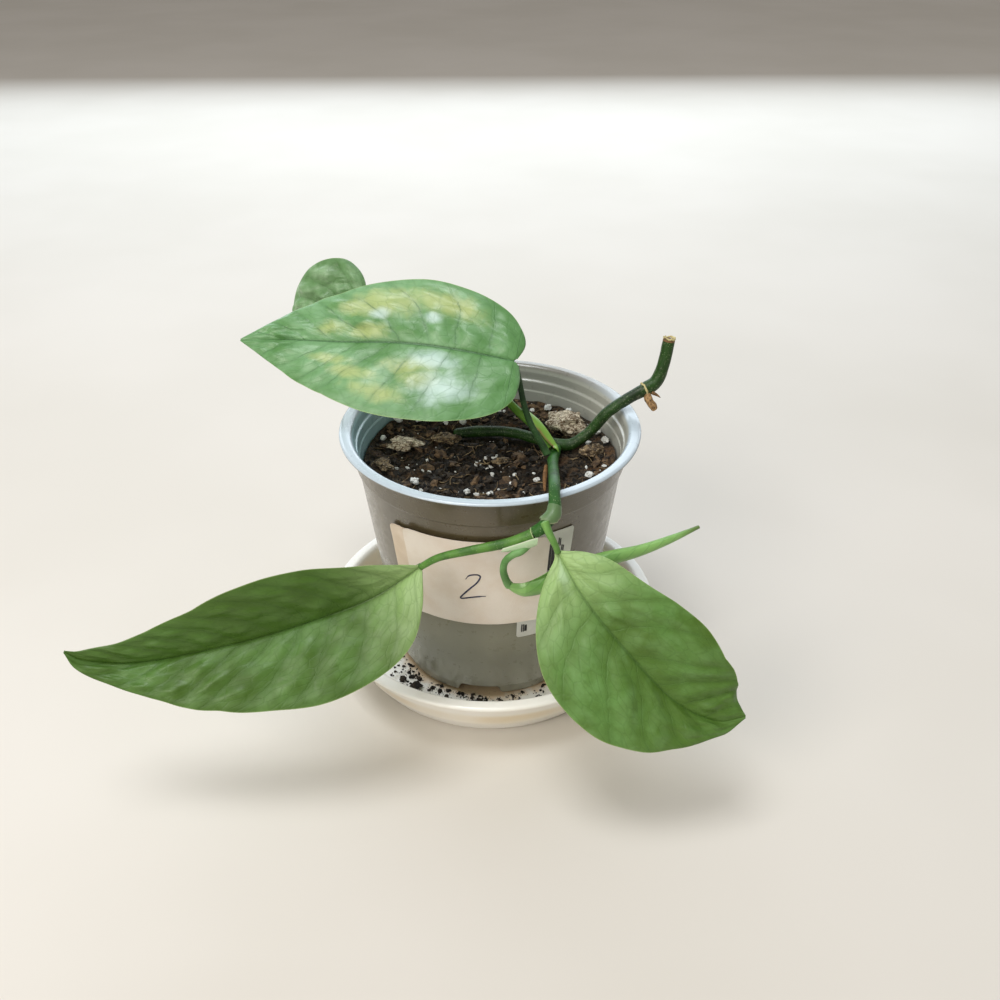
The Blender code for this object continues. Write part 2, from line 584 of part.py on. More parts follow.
def make_lump(name, centre, size, turn, finish, seed):
    """An uneven pebble: a coarse ball with its points pushed in and out by fixed waves."""
    bm = bmesh.new()
    bmesh.ops.create_icosphere(bm, subdivisions=2, radius=0.5)
    cos, sin = math.cos(math.radians(turn)), math.sin(math.radians(turn))
    for v in bm.verts:
        x, y, z = 2 * v.co
        push = 1 + LUMP_DENTS[0] * math.sin(5 * x + seed) * math.cos(4 * y + 2 * seed)
        push += LUMP_DENTS[1] * math.sin(7 * z + seed)
        x, y, z = (push * part * full for part, full in zip(v.co, size))
        v.co = (x * cos - y * sin, x * sin + y * cos, z)
    verts = [tuple(v.co) for v in bm.verts]
    faces = [tuple(v.index for v in f.verts) for f in bm.faces]
    bm.free()
    add_piece(name, verts, faces, finish, smooth=False, at=centre)


def ground_height(soil, x, y):
    """Height of the mix's faceted surface, found by looking straight down."""
    _, point, _, _ = soil.ray_cast(Vector((x, y, RIM_TOP)) * MM, Vector((0, 0, -1)))
    return point.z / MM


def lump_seat(soil, x, y, size, turn):
    """Height of a lump's middle that leaves the clearance between it and the mix."""
    cos, sin = math.cos(math.radians(turn)), math.sin(math.radians(turn))
    half_length, half_width, half_height = (full / 2 for full in size)
    lift = 0.0
    for a in np.radians(range(0, 360, 15)):
        for share in SEAT_SHARES:
            u, v = half_length * share * math.cos(a), half_width * share * math.sin(a)
            ground = ground_height(soil, x + u * cos - v * sin, y + u * sin + v * cos)
            lift = max(lift, ground + half_height * math.sqrt(1 - share * share))
    return lift + GAP + LUMP_DENTS[0] * half_height


def make_grains(soil):
    bpy.context.view_layer.update()
    for i, (x, y, r) in enumerate(PERLITE):
        size, turn = [r * part for part in PERLITE_SHAPE], PERLITE_TURN * i
        make_lump(f"perlite_{i + 1:02d}", (x, y, lump_seat(soil, x, y, size, turn)), size, turn,
                  "perlite_white", i)
    for i, (x, y, length, width, height, turn) in enumerate(BARK):
        size = (length, width, height)
        make_lump(f"bark_{i + 1}", (x, y, lump_seat(soil, x, y, size, turn)), size, turn,
                  "bark_brown", i + 3)
    for i, (x, y, r) in enumerate(CRUMBS):
        centre = (x, y, SAUCER_FLOOR + GAP + CRUMB_SEAT * r)
        make_lump(f"crumb_{i + 1}", centre, [r * part for part in CRUMB_SHAPE], CRUMB_TURN * i,
                  "crumb_dark", i + 9)


def make_plant():
    add_piece("old_stem", *tube(OLD_STEM + STUB[1:], OLD_STEM_R, STEM_STEPS), "old_stem_green")
    make_scar()
    add_piece("dried_root", *tube(DRY_ROOT, DRY_ROOT_R, STALK_STEPS // 2), "dry_skin")
    add_piece("shoot_stem", *tube(SHOOT, SHOOT_R, STEM_STEPS), "shoot_green")
    add_piece("aerial_root", *tube(AERIAL_ROOT, AERIAL_ROOT_R, STALK_STEPS // 2, TUBE_SIDES - 2), "dry_skin")
    for name, points in STALKS.items():
        add_piece(f"stalk_{name}", *tube(points, STALK_R[name], STALK_STEPS), STALK_FINISH[name])
    for name, spec in BLADES.items():
        add_piece(f"blade_{name}", *sheet(blade_grid(spec), BLADE_T), "leaf_green")
    make_rolled_blade()
    for name in SHEATHS:
        make_sheath(name)


def clear_scene():
    for item in list(bpy.data.objects):
        bpy.data.objects.remove(item, do_unlink=True)


def main():
    clear_scene()
    make_saucer()
    make_pot()
    soil = make_soil()
    make_label("sticker", STICKER, "sticker_film", STICKER_CORNER)
    make_label("paper_label_under", LABEL_LOW, "paper", LABEL_CORNER)
    make_label("paper_label", LABEL_TOP, "paper", LABEL_CORNER)
    make_plant()
    make_grains(soil)


main()
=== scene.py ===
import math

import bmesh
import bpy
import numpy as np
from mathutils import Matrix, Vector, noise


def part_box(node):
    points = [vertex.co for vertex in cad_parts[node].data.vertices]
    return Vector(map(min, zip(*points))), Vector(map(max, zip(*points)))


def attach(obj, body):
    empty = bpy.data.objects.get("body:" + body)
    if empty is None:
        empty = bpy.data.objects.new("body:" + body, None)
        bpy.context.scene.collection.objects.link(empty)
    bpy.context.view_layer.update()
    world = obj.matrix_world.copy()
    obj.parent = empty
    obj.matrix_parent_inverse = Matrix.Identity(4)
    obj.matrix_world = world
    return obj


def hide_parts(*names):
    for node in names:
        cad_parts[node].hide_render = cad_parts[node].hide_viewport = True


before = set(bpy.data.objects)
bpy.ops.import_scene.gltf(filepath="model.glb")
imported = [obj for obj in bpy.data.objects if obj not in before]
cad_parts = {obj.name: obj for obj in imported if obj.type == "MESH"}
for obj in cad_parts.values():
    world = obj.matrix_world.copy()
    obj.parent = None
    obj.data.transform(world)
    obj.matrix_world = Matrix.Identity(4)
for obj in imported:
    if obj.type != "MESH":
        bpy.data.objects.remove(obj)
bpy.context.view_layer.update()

# %% [markdown]
# # A young trailing aroid in its nursery pot
# The plant grew from an old stem cutting that lies in the mix. One shoot climbs over the front rim and
# carries five leaves. The frame gives the true places and sizes. Each visible piece is made again
# here as a fine mesh in the same place, because a leaf's quilting or the crumbs of a potting mix need
# far more points than a collision body.
#
# All sizes are in millimetres, and `MM` turns them into Blender's metres at the last moment.

MM = 0.001

# %% [markdown]
# ## From points to a piece
# A piece is a mesh object with smooth shading, a finish and the frame body that it moves with. One helper
# does all of that, and hides the frame node that the piece stands for. A finish made of nodes often wants to
# know where on a leaf it is, so the helper also writes named UV maps from one pair of numbers a point.

# %% One helper for every piece
def make_piece(name, verts, faces, finishes, stands_for=(), slot=None, kinds=None, maps=None, sharp=None):
    mesh = bpy.data.meshes.new(name)
    mesh.from_pydata((np.asarray(verts, float) * MM).tolist(), [], [tuple(map(int, f)) for f in faces])
    for finish in finishes if isinstance(finishes, (list, tuple)) else [finishes]:
        mesh.materials.append(finish)
    if kinds is not None:
        mesh.polygons.foreach_set("material_index", np.asarray(kinds, np.int32))
    corner = np.empty(len(mesh.loops), np.int32)
    mesh.loops.foreach_get("vertex_index", corner)
    for title, pairs in (maps or {}).items():
        layer = mesh.uv_layers.new(name=title)
        layer.data.foreach_set("uv", np.asarray(pairs, np.float32)[corner].ravel())
    bm = bmesh.new()
    bm.from_mesh(mesh)
    bmesh.ops.recalc_face_normals(bm, faces=bm.faces)
    bm.to_mesh(mesh)
    bm.free()
    mesh.shade_smooth()
    if sharp:
        mesh.set_sharp_from_angle(angle=math.radians(sharp))
    piece = bpy.data.objects.new(name, mesh)
    bpy.context.scene.collection.objects.link(piece)
    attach(piece, "root")
    if stands_for:
        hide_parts(*([stands_for] if isinstance(stands_for, str) else stands_for))
    print(f"{name}: {len(mesh.vertices)} points, {len(mesh.polygons)} faces")
    return piece


# %% [markdown]
# ## Turned shapes, stems and sheets
# Nearly everything here is one of three shapes. The pot and the saucer are turned: an outline goes once
# round the axis. Stems are tubes along a path. Leaves, sheaths and labels are sheets: a grid of points
# with a thickness. The outline's corners are softened first, because moulded plastic has no hard edges.

# %% Turned shapes
def soften(outline, radius, steps=4):
    """Rounds each inner corner of an outline with a short curve."""
    pts = np.array(outline, float)
    out = [pts[0]]
    for a, p, b in zip(pts, pts[1:], pts[2:]):
        before, after = np.linalg.norm(a - p), np.linalg.norm(b - p)
        cut = min(radius, 0.45 * before, 0.45 * after)
        start, end = p + (a - p) / before * cut, p + (b - p) / after * cut
        for t in np.linspace(0, 1, steps):
            out.append((1 - t) ** 2 * start + 2 * t * (1 - t) * p + t * t * end)
    return np.array(out + [pts[-1]])


def turned(outline, segments):
    """Points and faces of an outline turned about the axis; it starts and ends on the axis."""
    inner = outline[1:-1]
    angles = np.linspace(0, 2 * math.pi, segments, endpoint=False)
    ring = np.stack([np.cos(angles), np.sin(angles)], 1)
    verts = [(*(r * direction), z) for r, z in inner for direction in ring]
    faces = []
    for i in range(len(inner) - 1):
        for k in range(segments):
            n = (k + 1) % segments
            faces.append((i * segments + k, i * segments + n, (i + 1) * segments + n, (i + 1) * segments + k))
    first, last = len(verts), len(verts) + 1
    verts += [(0, 0, outline[0][1]), (0, 0, outline[-1][1])]
    top = (len(inner) - 1) * segments
    for k in range(segments):
        n = (k + 1) % segments
        faces += [(first, n, k), (last, top + k, top + n)]
    return np.array(verts), faces


# %% Paths and stems
CURVE_STEPS = 24  # fine steps between two given points


def smooth_path(points, count):
    """Evenly spaced points on a smooth curve through the given ones, with their directions."""
    pts = np.array(points, float)
    ghosts = np.vstack([2 * pts[0] - pts[1], pts, 2 * pts[-1] - pts[-2]])
    fine = []
    for i in range(len(pts) - 1):
        a, b, c, d = ghosts[i : i + 4]
        for t in np.linspace(0, 1, CURVE_STEPS, endpoint=False):
            fine.append(0.5 * (2 * b + (c - a) * t + (2 * a - 5 * b + 4 * c - d) * t * t
                               + (3 * b - a - 3 * c + d) * t ** 3))
    fine = np.array(fine + [pts[-1]])
    run = np.r_[0, np.cumsum(np.linalg.norm(np.diff(fine, axis=0), axis=1))]
    at = np.linspace(0, run[-1], count)
    path = np.stack([np.interp(at, run, fine[:, k]) for k in range(3)], 1)
    way = np.gradient(path, axis=0)
    return path, way / np.linalg.norm(way, axis=1, keepdims=True), run[-1]


def carried_frames(way):
    """Two directions square to the path, carried along it without twisting."""
    side = np.cross(way[0], (0.0, 0.0, 1.0))
    sides = []
    for step in way:
        side = side - step * (side @ step)
        side = side / np.linalg.norm(side)
        sides.append(side)
    sides = np.array(sides)
    return sides, np.cross(way, sides)


def tube(points, radii, per_mm=1.6, sides=28, wobble=0.03, seed=0.0, blunt=(0.5, 0.5)):
    """A stem: radii are (share of the way, radius) pairs; blunt rounds the two ends."""
    length = smooth_path(points, 9)[2]
    count = max(12, int(length * per_mm))
    path, way, _ = smooth_path(points, count)
    across, up = carried_frames(way)
    shares = np.linspace(0, 1, count)
    radius = np.interp(shares, *zip(*radii))
    for end, reach in enumerate(blunt):
        if reach:
            from_end = (shares if end == 0 else 1 - shares) * length
            radius = radius * np.sqrt(np.clip(1 - np.clip(1 - from_end / reach, 0, 0.97) ** 2, 0, 1))
    verts, maps = [], []
    for i in range(count):
        for k in range(sides):
            a = 2 * math.pi * k / sides
            out = math.cos(a) * across[i] + math.sin(a) * up[i]
            dent = noise.noise(Vector(path[i] * 0.35 + out * 0.9) + Vector((seed, 0, 0)))
            verts.append(path[i] + out * radius[i] * (1 + wobble * dent))
            maps.append((shares[i] * length, k / sides))
    faces = []
    for i in range(count - 1):
        for k in range(sides):
            n = (k + 1) % sides
            faces.append((i * sides + k, i * sides + n, (i + 1) * sides + n, (i + 1) * sides + k))
    faces.append(tuple(range(sides - 1, -1, -1)))
    faces.append(tuple(range((count - 1) * sides, count * sides)))
    return np.array(verts), faces, maps


# %% Sheets
def surface_out(grid):
    """The unit direction out of a grid of points, at each point."""
    out = np.cross(np.gradient(grid, axis=0), np.gradient(grid, axis=1))
    return out / (np.linalg.norm(out, axis=2, keepdims=True) + 1e-12)


def closed_sheet(front, rear):
    """A thin body between two grids. Its faces come in the order front, rear, edge."""
    rows, cols = front.shape[:2]
    shift = rows * cols
    verts = np.concatenate([front.reshape(-1, 3), rear.reshape(-1, 3)])
    cells = [(i * cols + j, (i + 1) * cols + j) for i in range(rows - 1) for j in range(cols - 1)]
    faces = [(a, a + 1, d + 1, d) for a, d in cells]
    faces += [(d + shift, d + 1 + shift, a + 1 + shift, a + shift) for a, d in cells]
    edge = [(i, 0) for i in range(rows)] + [(rows - 1, j) for j in range(1, cols)]
    edge += [(i, cols - 1) for i in range(rows - 2, -1, -1)] + [(0, j) for j in range(cols - 2, 0, -1)]
    loop = [i * cols + j for i, j in edge]
    faces += [(a, b, b + shift, a + shift) for a, b in zip(loop, loop[1:] + loop[:1])]
    kinds = np.r_[np.zeros(len(cells)), np.ones(len(cells)), np.zeros(len(loop))]
    return verts, faces, kinds


def both_sides(pairs):
    """The map of a grid, once for the front and once for the rear."""
    return np.tile(pairs.reshape(-1, 2), (2, 1))


# %% [markdown]
# ## Finishes out of nodes
# A finish is a tree of shader nodes round one Principled shader. The small class below adds a node,
# sets or links its sockets, and gives back the output, so that a finish reads like a sum. Colours
# are written as the 0 to 255 numbers one reads off a photograph and turned into linear light.

# %% A short way to write shader nodes
def srgb(r, g, b):
    """Linear colour from the 0 to 255 numbers of a picture."""
    lin = [c / 12.92 if c <= 0.04045 else ((c + 0.055) / 1.055) ** 2.4 for c in (r / 255, g / 255, b / 255)]
    return (*lin, 1.0)


class Finish:
    """A Principled shader with nodes round it. Its noises and cells are scaled in millimetres."""

    def __init__(self, name, roughness=0.5, **values):
        self.material = bpy.data.materials.new(name)
        self.material.use_nodes = True
        self.tree = self.material.node_tree
        self.shader = self.tree.nodes["Principled BSDF"]
        self.place = self.add("ShaderNodeTexCoord", out="Object")
        self.mm = self.add("ShaderNodeVectorMath", {0: self.place, 1: (1 / MM,) * 3}, operation="MULTIPLY")
        self.set("Roughness", roughness)
        for key, value in values.items():
            self.set(key.replace("_", " "), value)

    def set(self, socket, value, node=None):
        target = (node or self.shader).inputs[socket]
        if isinstance(value, bpy.types.NodeSocket):
            self.tree.links.new(value, target)
        else:
            target.default_value = value

    def add(self, kind, inputs=None, out=0, **settings):
        node = self.tree.nodes.new(kind)
        for key, value in settings.items():
            setattr(node, key, value)
        for key, value in (inputs or {}).items():
            self.set(key, value, node)
        return node.outputs[out]

    def math(self, what, a, b=0.0):
        return self.add("ShaderNodeMath", {0: a, 1: b}, operation=what)

    def times(self, a, b):
        return self.math("MULTIPLY", a, b)

    def plus(self, a, b):
        return self.math("ADD", a, b)

    def minus(self, a, b):
        return self.math("SUBTRACT", a, b)

    def distance(self, a, b):
        """Distance of the point (a, b) from zero."""
        return self.math("SQRT", self.plus(self.times(a, a), self.times(b, b)))

    def off_whole(self, value):
        """Distance of a number to the nearest whole number."""
        return self.math("ABSOLUTE", self.minus(self.math("FRACT", self.plus(value, 0.5)), 0.5))

    def off_middle(self, value):
        """0 at one half, 1 at zero and at one."""
        return self.times(self.math("ABSOLUTE", self.minus(value, 0.5)), 2.0)

    def noise(self, scale, detail=3.0, where=None, roughness=0.55, distort=0.0):
        return self.add("ShaderNodeTexNoise", {"Vector": where or self.mm, "Scale": scale, "Detail": detail,
                                               "Roughness": roughness, "Distortion": distort})

    def cells(self, scale, where=None, feature="F1", out="Distance", randomness=1.0):
        inputs = {"Vector": where or self.mm, "Scale": scale, "Randomness": randomness}
        return self.add("ShaderNodeTexVoronoi", inputs, out, feature=feature)

    def mix(self, share, a, b, blend="MIX"):
        return self.add("ShaderNodeMix", {0: share, 6: a, 7: b}, 2, data_type="RGBA", blend_type=blend)

    def spread(self, value, low, high, to_low=0.0, to_high=1.0):
        """The value moved from one range to another and held inside it."""
        return self.add("ShaderNodeMapRange", {0: value, 1: low, 2: high, 3: to_low, 4: to_high},
                        interpolation_type="SMOOTHSTEP")

    def parts(self, vector):
        """The three numbers of a vector."""
        return [self.add("ShaderNodeSeparateXYZ", {0: vector}, k) for k in range(3)]

    def uv(self, name):
        """A named map and its two numbers."""
        found = self.add("ShaderNodeUVMap", uv_map=name)
        return (found, *self.parts(found)[:2])

    def streaks(self, along, per_mm, around, count):
        """Coordinates whose noise is drawn out along a stem or a strip."""
        return self.add("ShaderNodeCombineXYZ", {0: self.times(along, per_mm), 1: self.times(around, count)})

    def bump(self, height, depth_mm, strength=1.0, under=None):
        inputs = {"Height": height, "Distance": depth_mm * MM, "Strength": strength}
        if under is not None:
            inputs["Normal"] = under
        return self.add("ShaderNodeBump", inputs)

    def done(self, colour, normal=None, roughness=None):
        self.set("Base Color", colour)
        if normal is not None:
            self.set("Normal", normal)
        if roughness is not None:
            self.set("Roughness", roughness)
        return self.material


# %% [markdown]
# ## The saucer
# The saucer is moulded in white plastic: a flat foot, a flaring wall and a lip so thick that it looks like
# a flat ring from above. Low ribs run out across its floor. Watering has left a brown stain round the
# pot's foot, which a noise broken up by distance from the axis can paint.

# %% Saucer sizes and outline
SAUCER_FOOT_R = 53.1
SAUCER_FLARE = (57.7, 8.0)
SAUCER_RIM_R = 65.8
SAUCER_H = 23.5
SAUCER_LIP = 4.4
SAUCER_FLOOR = 2.4
RIB_COUNT = 16
RIB_SPAN = (37.5, 49.5)
RIB_H = 0.55
RIB_HALF_W = 0.75
ROUND = 360  # points round a turned piece


def saucer_outline():
    rim, top = SAUCER_RIM_R, SAUCER_H
    lip_in, inside = rim - SAUCER_LIP, SAUCER_FOOT_R - 2.2
    outline = [(0, 0.5), (49.5, 0.5), (50.3, 0), (SAUCER_FOOT_R - 1.2, 0), (SAUCER_FOOT_R, 0.9), SAUCER_FLARE,
               (rim - 3.0, top - 4.2), (rim - 1.0, top - 2.4), (rim, top - 1.5), (rim, top - 0.5),
               (rim - 0.7, top), (lip_in + 0.4, top), (lip_in - 0.5, top - 0.9), (inside + 4.0, 8.6),
               (inside + 0.9, 3.6), (inside - 0.8, SAUCER_FLOOR), (RIB_SPAN[1] + 1, SAUCER_FLOOR)]
    outline += [(r, SAUCER_FLOOR) for r in np.linspace(RIB_SPAN[1], RIB_SPAN[0], 14)]
    return soften(outline + [(RIB_SPAN[0] - 1, SAUCER_FLOOR), (0, SAUCER_FLOOR)], 0.7)


def rib_height(x, y):
    """Height of the ribs over the saucer's floor."""
    r, a = np.hypot(x, y), np.arctan2(y, x)
    step = 2 * math.pi / RIB_COUNT
    off = np.abs((a / step - 0.5) - np.round(a / step - 0.5)) * step * r
    across = np.clip((RIB_HALF_W - off) / 0.35, 0, 1)
    along = np.clip((r - RIB_SPAN[0]) / 1.2, 0, 1) * np.clip((RIB_SPAN[1] - r) / 1.2, 0, 1)
    return RIB_H * across * along


# %% Saucer finish
def saucer_finish():
    f = Finish("saucer_white", 0.28, Coat_Weight=0.35, Coat_Roughness=0.12)
    x, y, z = f.parts(f.mm)
    r = f.distance(x, y)
    wander = f.times(f.minus(f.noise(0.16, 5), 0.5), 14.0)
    inside = f.times(f.spread(z, 9.5, 4.0), f.spread(r, 57.0, 54.0))
    stain = f.times(f.spread(f.plus(r, wander), 41.5, 36.0), inside)
    white = f.mix(f.spread(f.noise(0.05, 5), 0.35, 0.75), srgb(252, 250, 244), srgb(246, 242, 232))
    # painted warm bounce light on the walls under the lip, in soft patches
    wall = f.times(f.spread(z, 5.0, 12.0), f.spread(r, 61.5, 60.0))
    painted_bounce = f.times(wall, f.spread(f.noise(0.03, 3), 0.3, 0.7, 0.25, 0.75))
    warm = f.mix(painted_bounce, white, srgb(226, 204, 160))
    aged = f.mix(f.times(stain, 0.65), warm, srgb(222, 178, 116))
    dirty = f.times(f.spread(f.noise(0.8, 6, roughness=0.8), 0.56, 0.68), inside)
    colour = f.mix(f.times(dirty, 0.5), aged, srgb(112, 82, 48))
    return f.done(colour, f.bump(f.noise(1.4, 2), 0.02))


def make_saucer():
    verts, faces = turned(saucer_outline(), ROUND)
    x, y, z = verts.T
    floor = (np.abs(z - SAUCER_FLOOR) < 0.05) & (np.hypot(x, y) < RIB_SPAN[1] + 0.5)
    z[floor] += rib_height(x[floor], y[floor])
    return make_piece("saucer_dish", verts, faces, saucer_finish(), "saucer", "saucer_plastic", sharp=35)


make_saucer()
print("saucer:", 2 * SAUCER_RIM_R, "mm across,", SAUCER_H, "mm tall")

# %% [markdown]
# ## The pot
# The pot is a thin taupe shell: a foot ring with notches for the water, a tapering wall, a stepped collar
# and a flat lip. Inside the rim two narrow ledges catch the light. Cutting the notches with a Boolean
# would work, but it leaves long thin faces that shade badly. Lifting the foot ring's lowest points
# where a notch is gives the same shape and keeps an even mesh.

# %% Pot sizes and outline
POT_BASE = 3.35
FOOT = (34.2, 36.4)
FOOT_TOP = 8.4
UNDERSIDE = 8.2
WALL_LOW = (38.9, 8.9)
WALL_TOP = (48.9, 90.3)
COLLAR_R, COLLAR_TOP = 50.3, 101.2
RIM_R, RIM_IN, RIM_TOP = 55.0, 50.8, 103.1
POT_WALL = 1.2
LEDGES = (93.4, 97.6)
FLOOR_TOP = 9.8
NOTCHES, NOTCH_AT, NOTCH_W, NOTCH_TOP = 5, -98.0, 16.0, 6.9


def wall_radius(z):
    """Outside radius of the pot's tapering wall at a height."""
    return WALL_LOW[0] + (WALL_TOP[0] - WALL_LOW[0]) * (z - WALL_LOW[1]) / (WALL_TOP[1] - WALL_LOW[1])


def pot_outline():
    in_r = RIM_IN - POT_WALL
    heights = np.linspace(POT_BASE, NOTCH_TOP + 0.4, 8)
    outline = [(0, UNDERSIDE), (FOOT[0], UNDERSIDE)] + [(FOOT[0], z) for z in heights[::-1]]
    outline += [(FOOT[1] + 0.1 * (z - POT_BASE), z) for z in heights]
    outline += [(FOOT[1] + 0.5, FOOT_TOP), WALL_LOW, (wall_radius(30), 30), (wall_radius(60), 60), WALL_TOP,
                (COLLAR_R - 0.5, WALL_TOP[1] + 0.5), (COLLAR_R, COLLAR_TOP - 0.3),
                (RIM_R - 0.9, RIM_TOP - 1.6), (RIM_R, RIM_TOP - 1.2), (RIM_R, RIM_TOP - 0.5),
                (RIM_R - 0.8, RIM_TOP),
                (RIM_IN + 0.9, RIM_TOP - 0.1), (RIM_IN, RIM_TOP - 0.8), (in_r + 0.2, COLLAR_TOP - 0.6),
                (in_r, LEDGES[1]), (in_r - 0.9, LEDGES[1] - 0.5), (in_r - 1.1, LEDGES[0]),
                (wall_radius(92.9) - POT_WALL, 92.9), (wall_radius(50) - POT_WALL, 50),
                (wall_radius(11) - POT_WALL, 11), (wall_radius(FLOOR_TOP) - 2.4, FLOOR_TOP), (0, FLOOR_TOP)]
    return soften(outline, 0.5)


def notch_floor(x, y):
    """Lowest height the foot ring may have at a place."""
    step = 360.0 / NOTCHES
    a = np.degrees(np.arctan2(y, x)) - NOTCH_AT
    off = np.radians(np.abs(a - step * np.round(a / step))) * np.hypot(x, y)
    return POT_BASE + (NOTCH_TOP - POT_BASE) * np.clip((NOTCH_W / 2 + 0.6 - off) / 1.3, 0, 1)


# %% Pot finish
def pot_finish():
    f = Finish("pot_taupe", 0.34, Specular_IOR_Level=0.6, Coat_Weight=0.6, Coat_Roughness=0.16)
    x, y, z = f.parts(f.mm)
    flow = f.add("ShaderNodeMapping", {"Vector": f.mm, "Scale": (1.0, 1.0, 0.25)})
    high = f.mix(f.spread(f.noise(0.06, 4, flow), 0.35, 0.7), srgb(88, 78, 54), srgb(78, 69, 47))
    low = f.mix(f.spread(f.noise(0.05, 4, flow), 0.35, 0.7), srgb(150, 150, 136), srgb(138, 137, 122))
    base = f.mix(f.spread(z, 58.0, 34.0), high, low)
    smear = f.times(f.spread(f.noise(0.13, 5, roughness=0.65), 0.6, 0.7), f.spread(z, 16.0, 6.0))
    dust = f.times(f.spread(f.noise(0.9, 6, roughness=0.8), 0.58, 0.72), f.spread(z, 30.0, 5.0))
    dusty = f.mix(f.math("MAXIMUM", f.times(dust, 0.4), f.times(smear, 0.8)), base,
                  srgb(92, 66, 40))
    speck = f.mix(f.times(f.spread(f.noise(2.2, 3), 0.62, 0.7), 0.14), dusty, srgb(200, 196, 186))
    # the lip and the inside are painted paler than the outside as painted light, with a bluish painted
    # reflection on the left of the inside and on the front of the lip
    pale = f.math("MAXIMUM", f.uv("inside")[1], f.spread(z, RIM_TOP - 1.0, RIM_TOP - 0.6))
    # painted bluish reflection on the left of the inside
    inner = f.mix(f.spread(x, -46.0, 10.0), srgb(170, 204, 212), srgb(172, 172, 162))
    # painted bluish reflection on the front of the lip
    rim = f.mix(f.spread(y, 0.0, 45.0), srgb(188, 202, 212), srgb(142, 138, 128))
    painted_lip_light = f.mix(f.spread(z, RIM_TOP - 2.0, RIM_TOP - 0.8), inner, rim)
    lines = f.add("ShaderNodeTexWave", {"Vector": f.mm, "Scale": 0.32, "Distortion": 0.6, "Detail": 2.0},
                  1, wave_type="BANDS", bands_direction="Z")
    grain = f.plus(f.times(f.noise(3.0, 2), 0.6), f.times(lines, 0.4))
    sheen = f.spread(f.noise(0.3, 4), 0.3, 0.7, 0.26, 0.4)
    return f.done(f.mix(pale, speck, painted_lip_light), f.bump(grain, 0.025), sheen)


def make_pot():
    outline = pot_outline()
    verts, faces = turned(outline, ROUND)
    inside = np.repeat(np.arange(1, len(outline) - 1) > np.argmax(outline[:, 1]), ROUND)
    maps = {"inside": [(float(side), 0.0) for side in (*inside, False, True)]}
    r = np.hypot(verts[:, 0], verts[:, 1])
    foot = (verts[:, 2] < NOTCH_TOP + 0.2) & (r > FOOT[0] - 1) & (r < FOOT[1] + 1.2)
    verts[foot, 2] = np.maximum(verts[foot, 2], notch_floor(verts[foot, 0], verts[foot, 1]))
    return make_piece("nursery_pot", verts, faces, pot_finish(), "pot", "pot_plastic", maps=maps, sharp=40)


make_pot()
print("pot:", 2 * RIM_R, "mm across its rim, its lip", RIM_TOP, "mm over the table")

# %% [markdown]
# ## Where the stems lie
# The stems come next, because the mix has to stay clear of them. Each path is a short list of points
# that the curve runs through. A stem isn't evenly thick: it swells at each joint where a leaf grew, so
# its radius is a list as well.

# %% Stem and stalk paths
OLD_STEM = ((-14.5, 19.4, 87.5), (-6, 20.0, 88.2), (4, 19.2, 88.7), (11, 16.4, 89.1),
            (17.2, 12.2, 89.3), (24.9, 7, 89.7), (31, 6.2, 90.3), (37.6, 7, 95.2), (43.8, 7, 103.2),
            (51.2, 8, 108.3), (57.6, 9.6, 111.4), (61.6, 10.6, 114.2), (63.9, 11.6, 121.0), (65.3, 13, 130.2))
OLD_STEM_R = ((0, 2.0), (0.1, 2.2), (0.2, 2.0), (0.33, 2.1), (0.43, 2.35), (0.5, 2.1), (0.74, 2.15),
              (0.785, 2.35), (0.80, 2.7), (0.825, 2.55), (0.9, 2.3), (1, 2.2))
DRY_ROOT = ((57.6, 8.6, 110.6), (58.6, 7.4, 108.2), (60.2, 6.7, 106.0), (61.2, 6.4, 104.2))
SHOOT = ((24.7, 4.3, 89.6), (24.0, -1.0, 90.1), (22.9, -7, 90.9), (22.0, -24, 96.6),
         (21.4, -35, 101.6), (20.9, -43, 105.0), (20.7, -48, 106.1), (20.4, -52.5, 106.0),
         (20.3, -56.5, 104.9), (20.1, -59.6, 103.7), (19.1, -61.6, 102.4), (17.4, -62.4, 100.6),
         (15.4, -62.5, 98.6), (13.2, -62.5, 97.0))
SHOOT_R = ((0, 2.0), (0.09, 1.9), (0.15, 2.1), (0.2, 1.9), (0.7, 1.9), (0.79, 1.9), (0.84, 2.15), (0.9, 1.85),
           (0.97, 2.05), (1, 1.95))
AERIAL_ROOT = ((20.3, -9.4, 90.2), (19.7, -14, 89.7), (19.3, -19, 88.9), (19.2, -23, 87.6))
STALKS = {
    "back": ((22.6, 0.9, 91.7), (17.6, 4.2, 97.6), (10.8, 9.5, 102.2), (5.3, 14, 106.0),
             (-8, 23, 116.5), (-24, 31, 128), (-37, 36.5, 135.0), (-45.6, 39.9, 136.9), (-48.2, 40.8, 137.0)),
    "top": ((21.0, -5.8, 92.4), (19.7, -5, 94.9), (16.7, -4.2, 100.4), (14.3, -3.6, 105.3),
            (12.2, -2.8, 112), (10.4, -1.4, 121), (9.3, -0.4, 126.3)),
    "right": ((16.6, -64.2, 103.0), (17.4, -65.3, 101.2), (18.6, -66.5, 98.6), (20.2, -66.9, 95.3),
              (21.1, -66.1, 91.9)),
    "left": ((13.4, -62.5, 96.7), (7.3, -62.6, 94.1), (2.7, -62.7, 92.8), (-6.8, -63, 90.9),
             (-16.6, -62, 87.6), (-22.1, -60.4, 83.3), (-23.4, -60.0, 82.0)),
    "new": ((12.4, -63.4, 93.8), (9.6, -65.1, 91.9), (6.6, -65.4, 90.6), (4.4, -65.2, 88.0),
            (3.8, -65.0, 84.6), (4.3, -64.0, 80.9), (5.2, -62.6, 77.4), (6.0, -62.2, 75.8)),
}
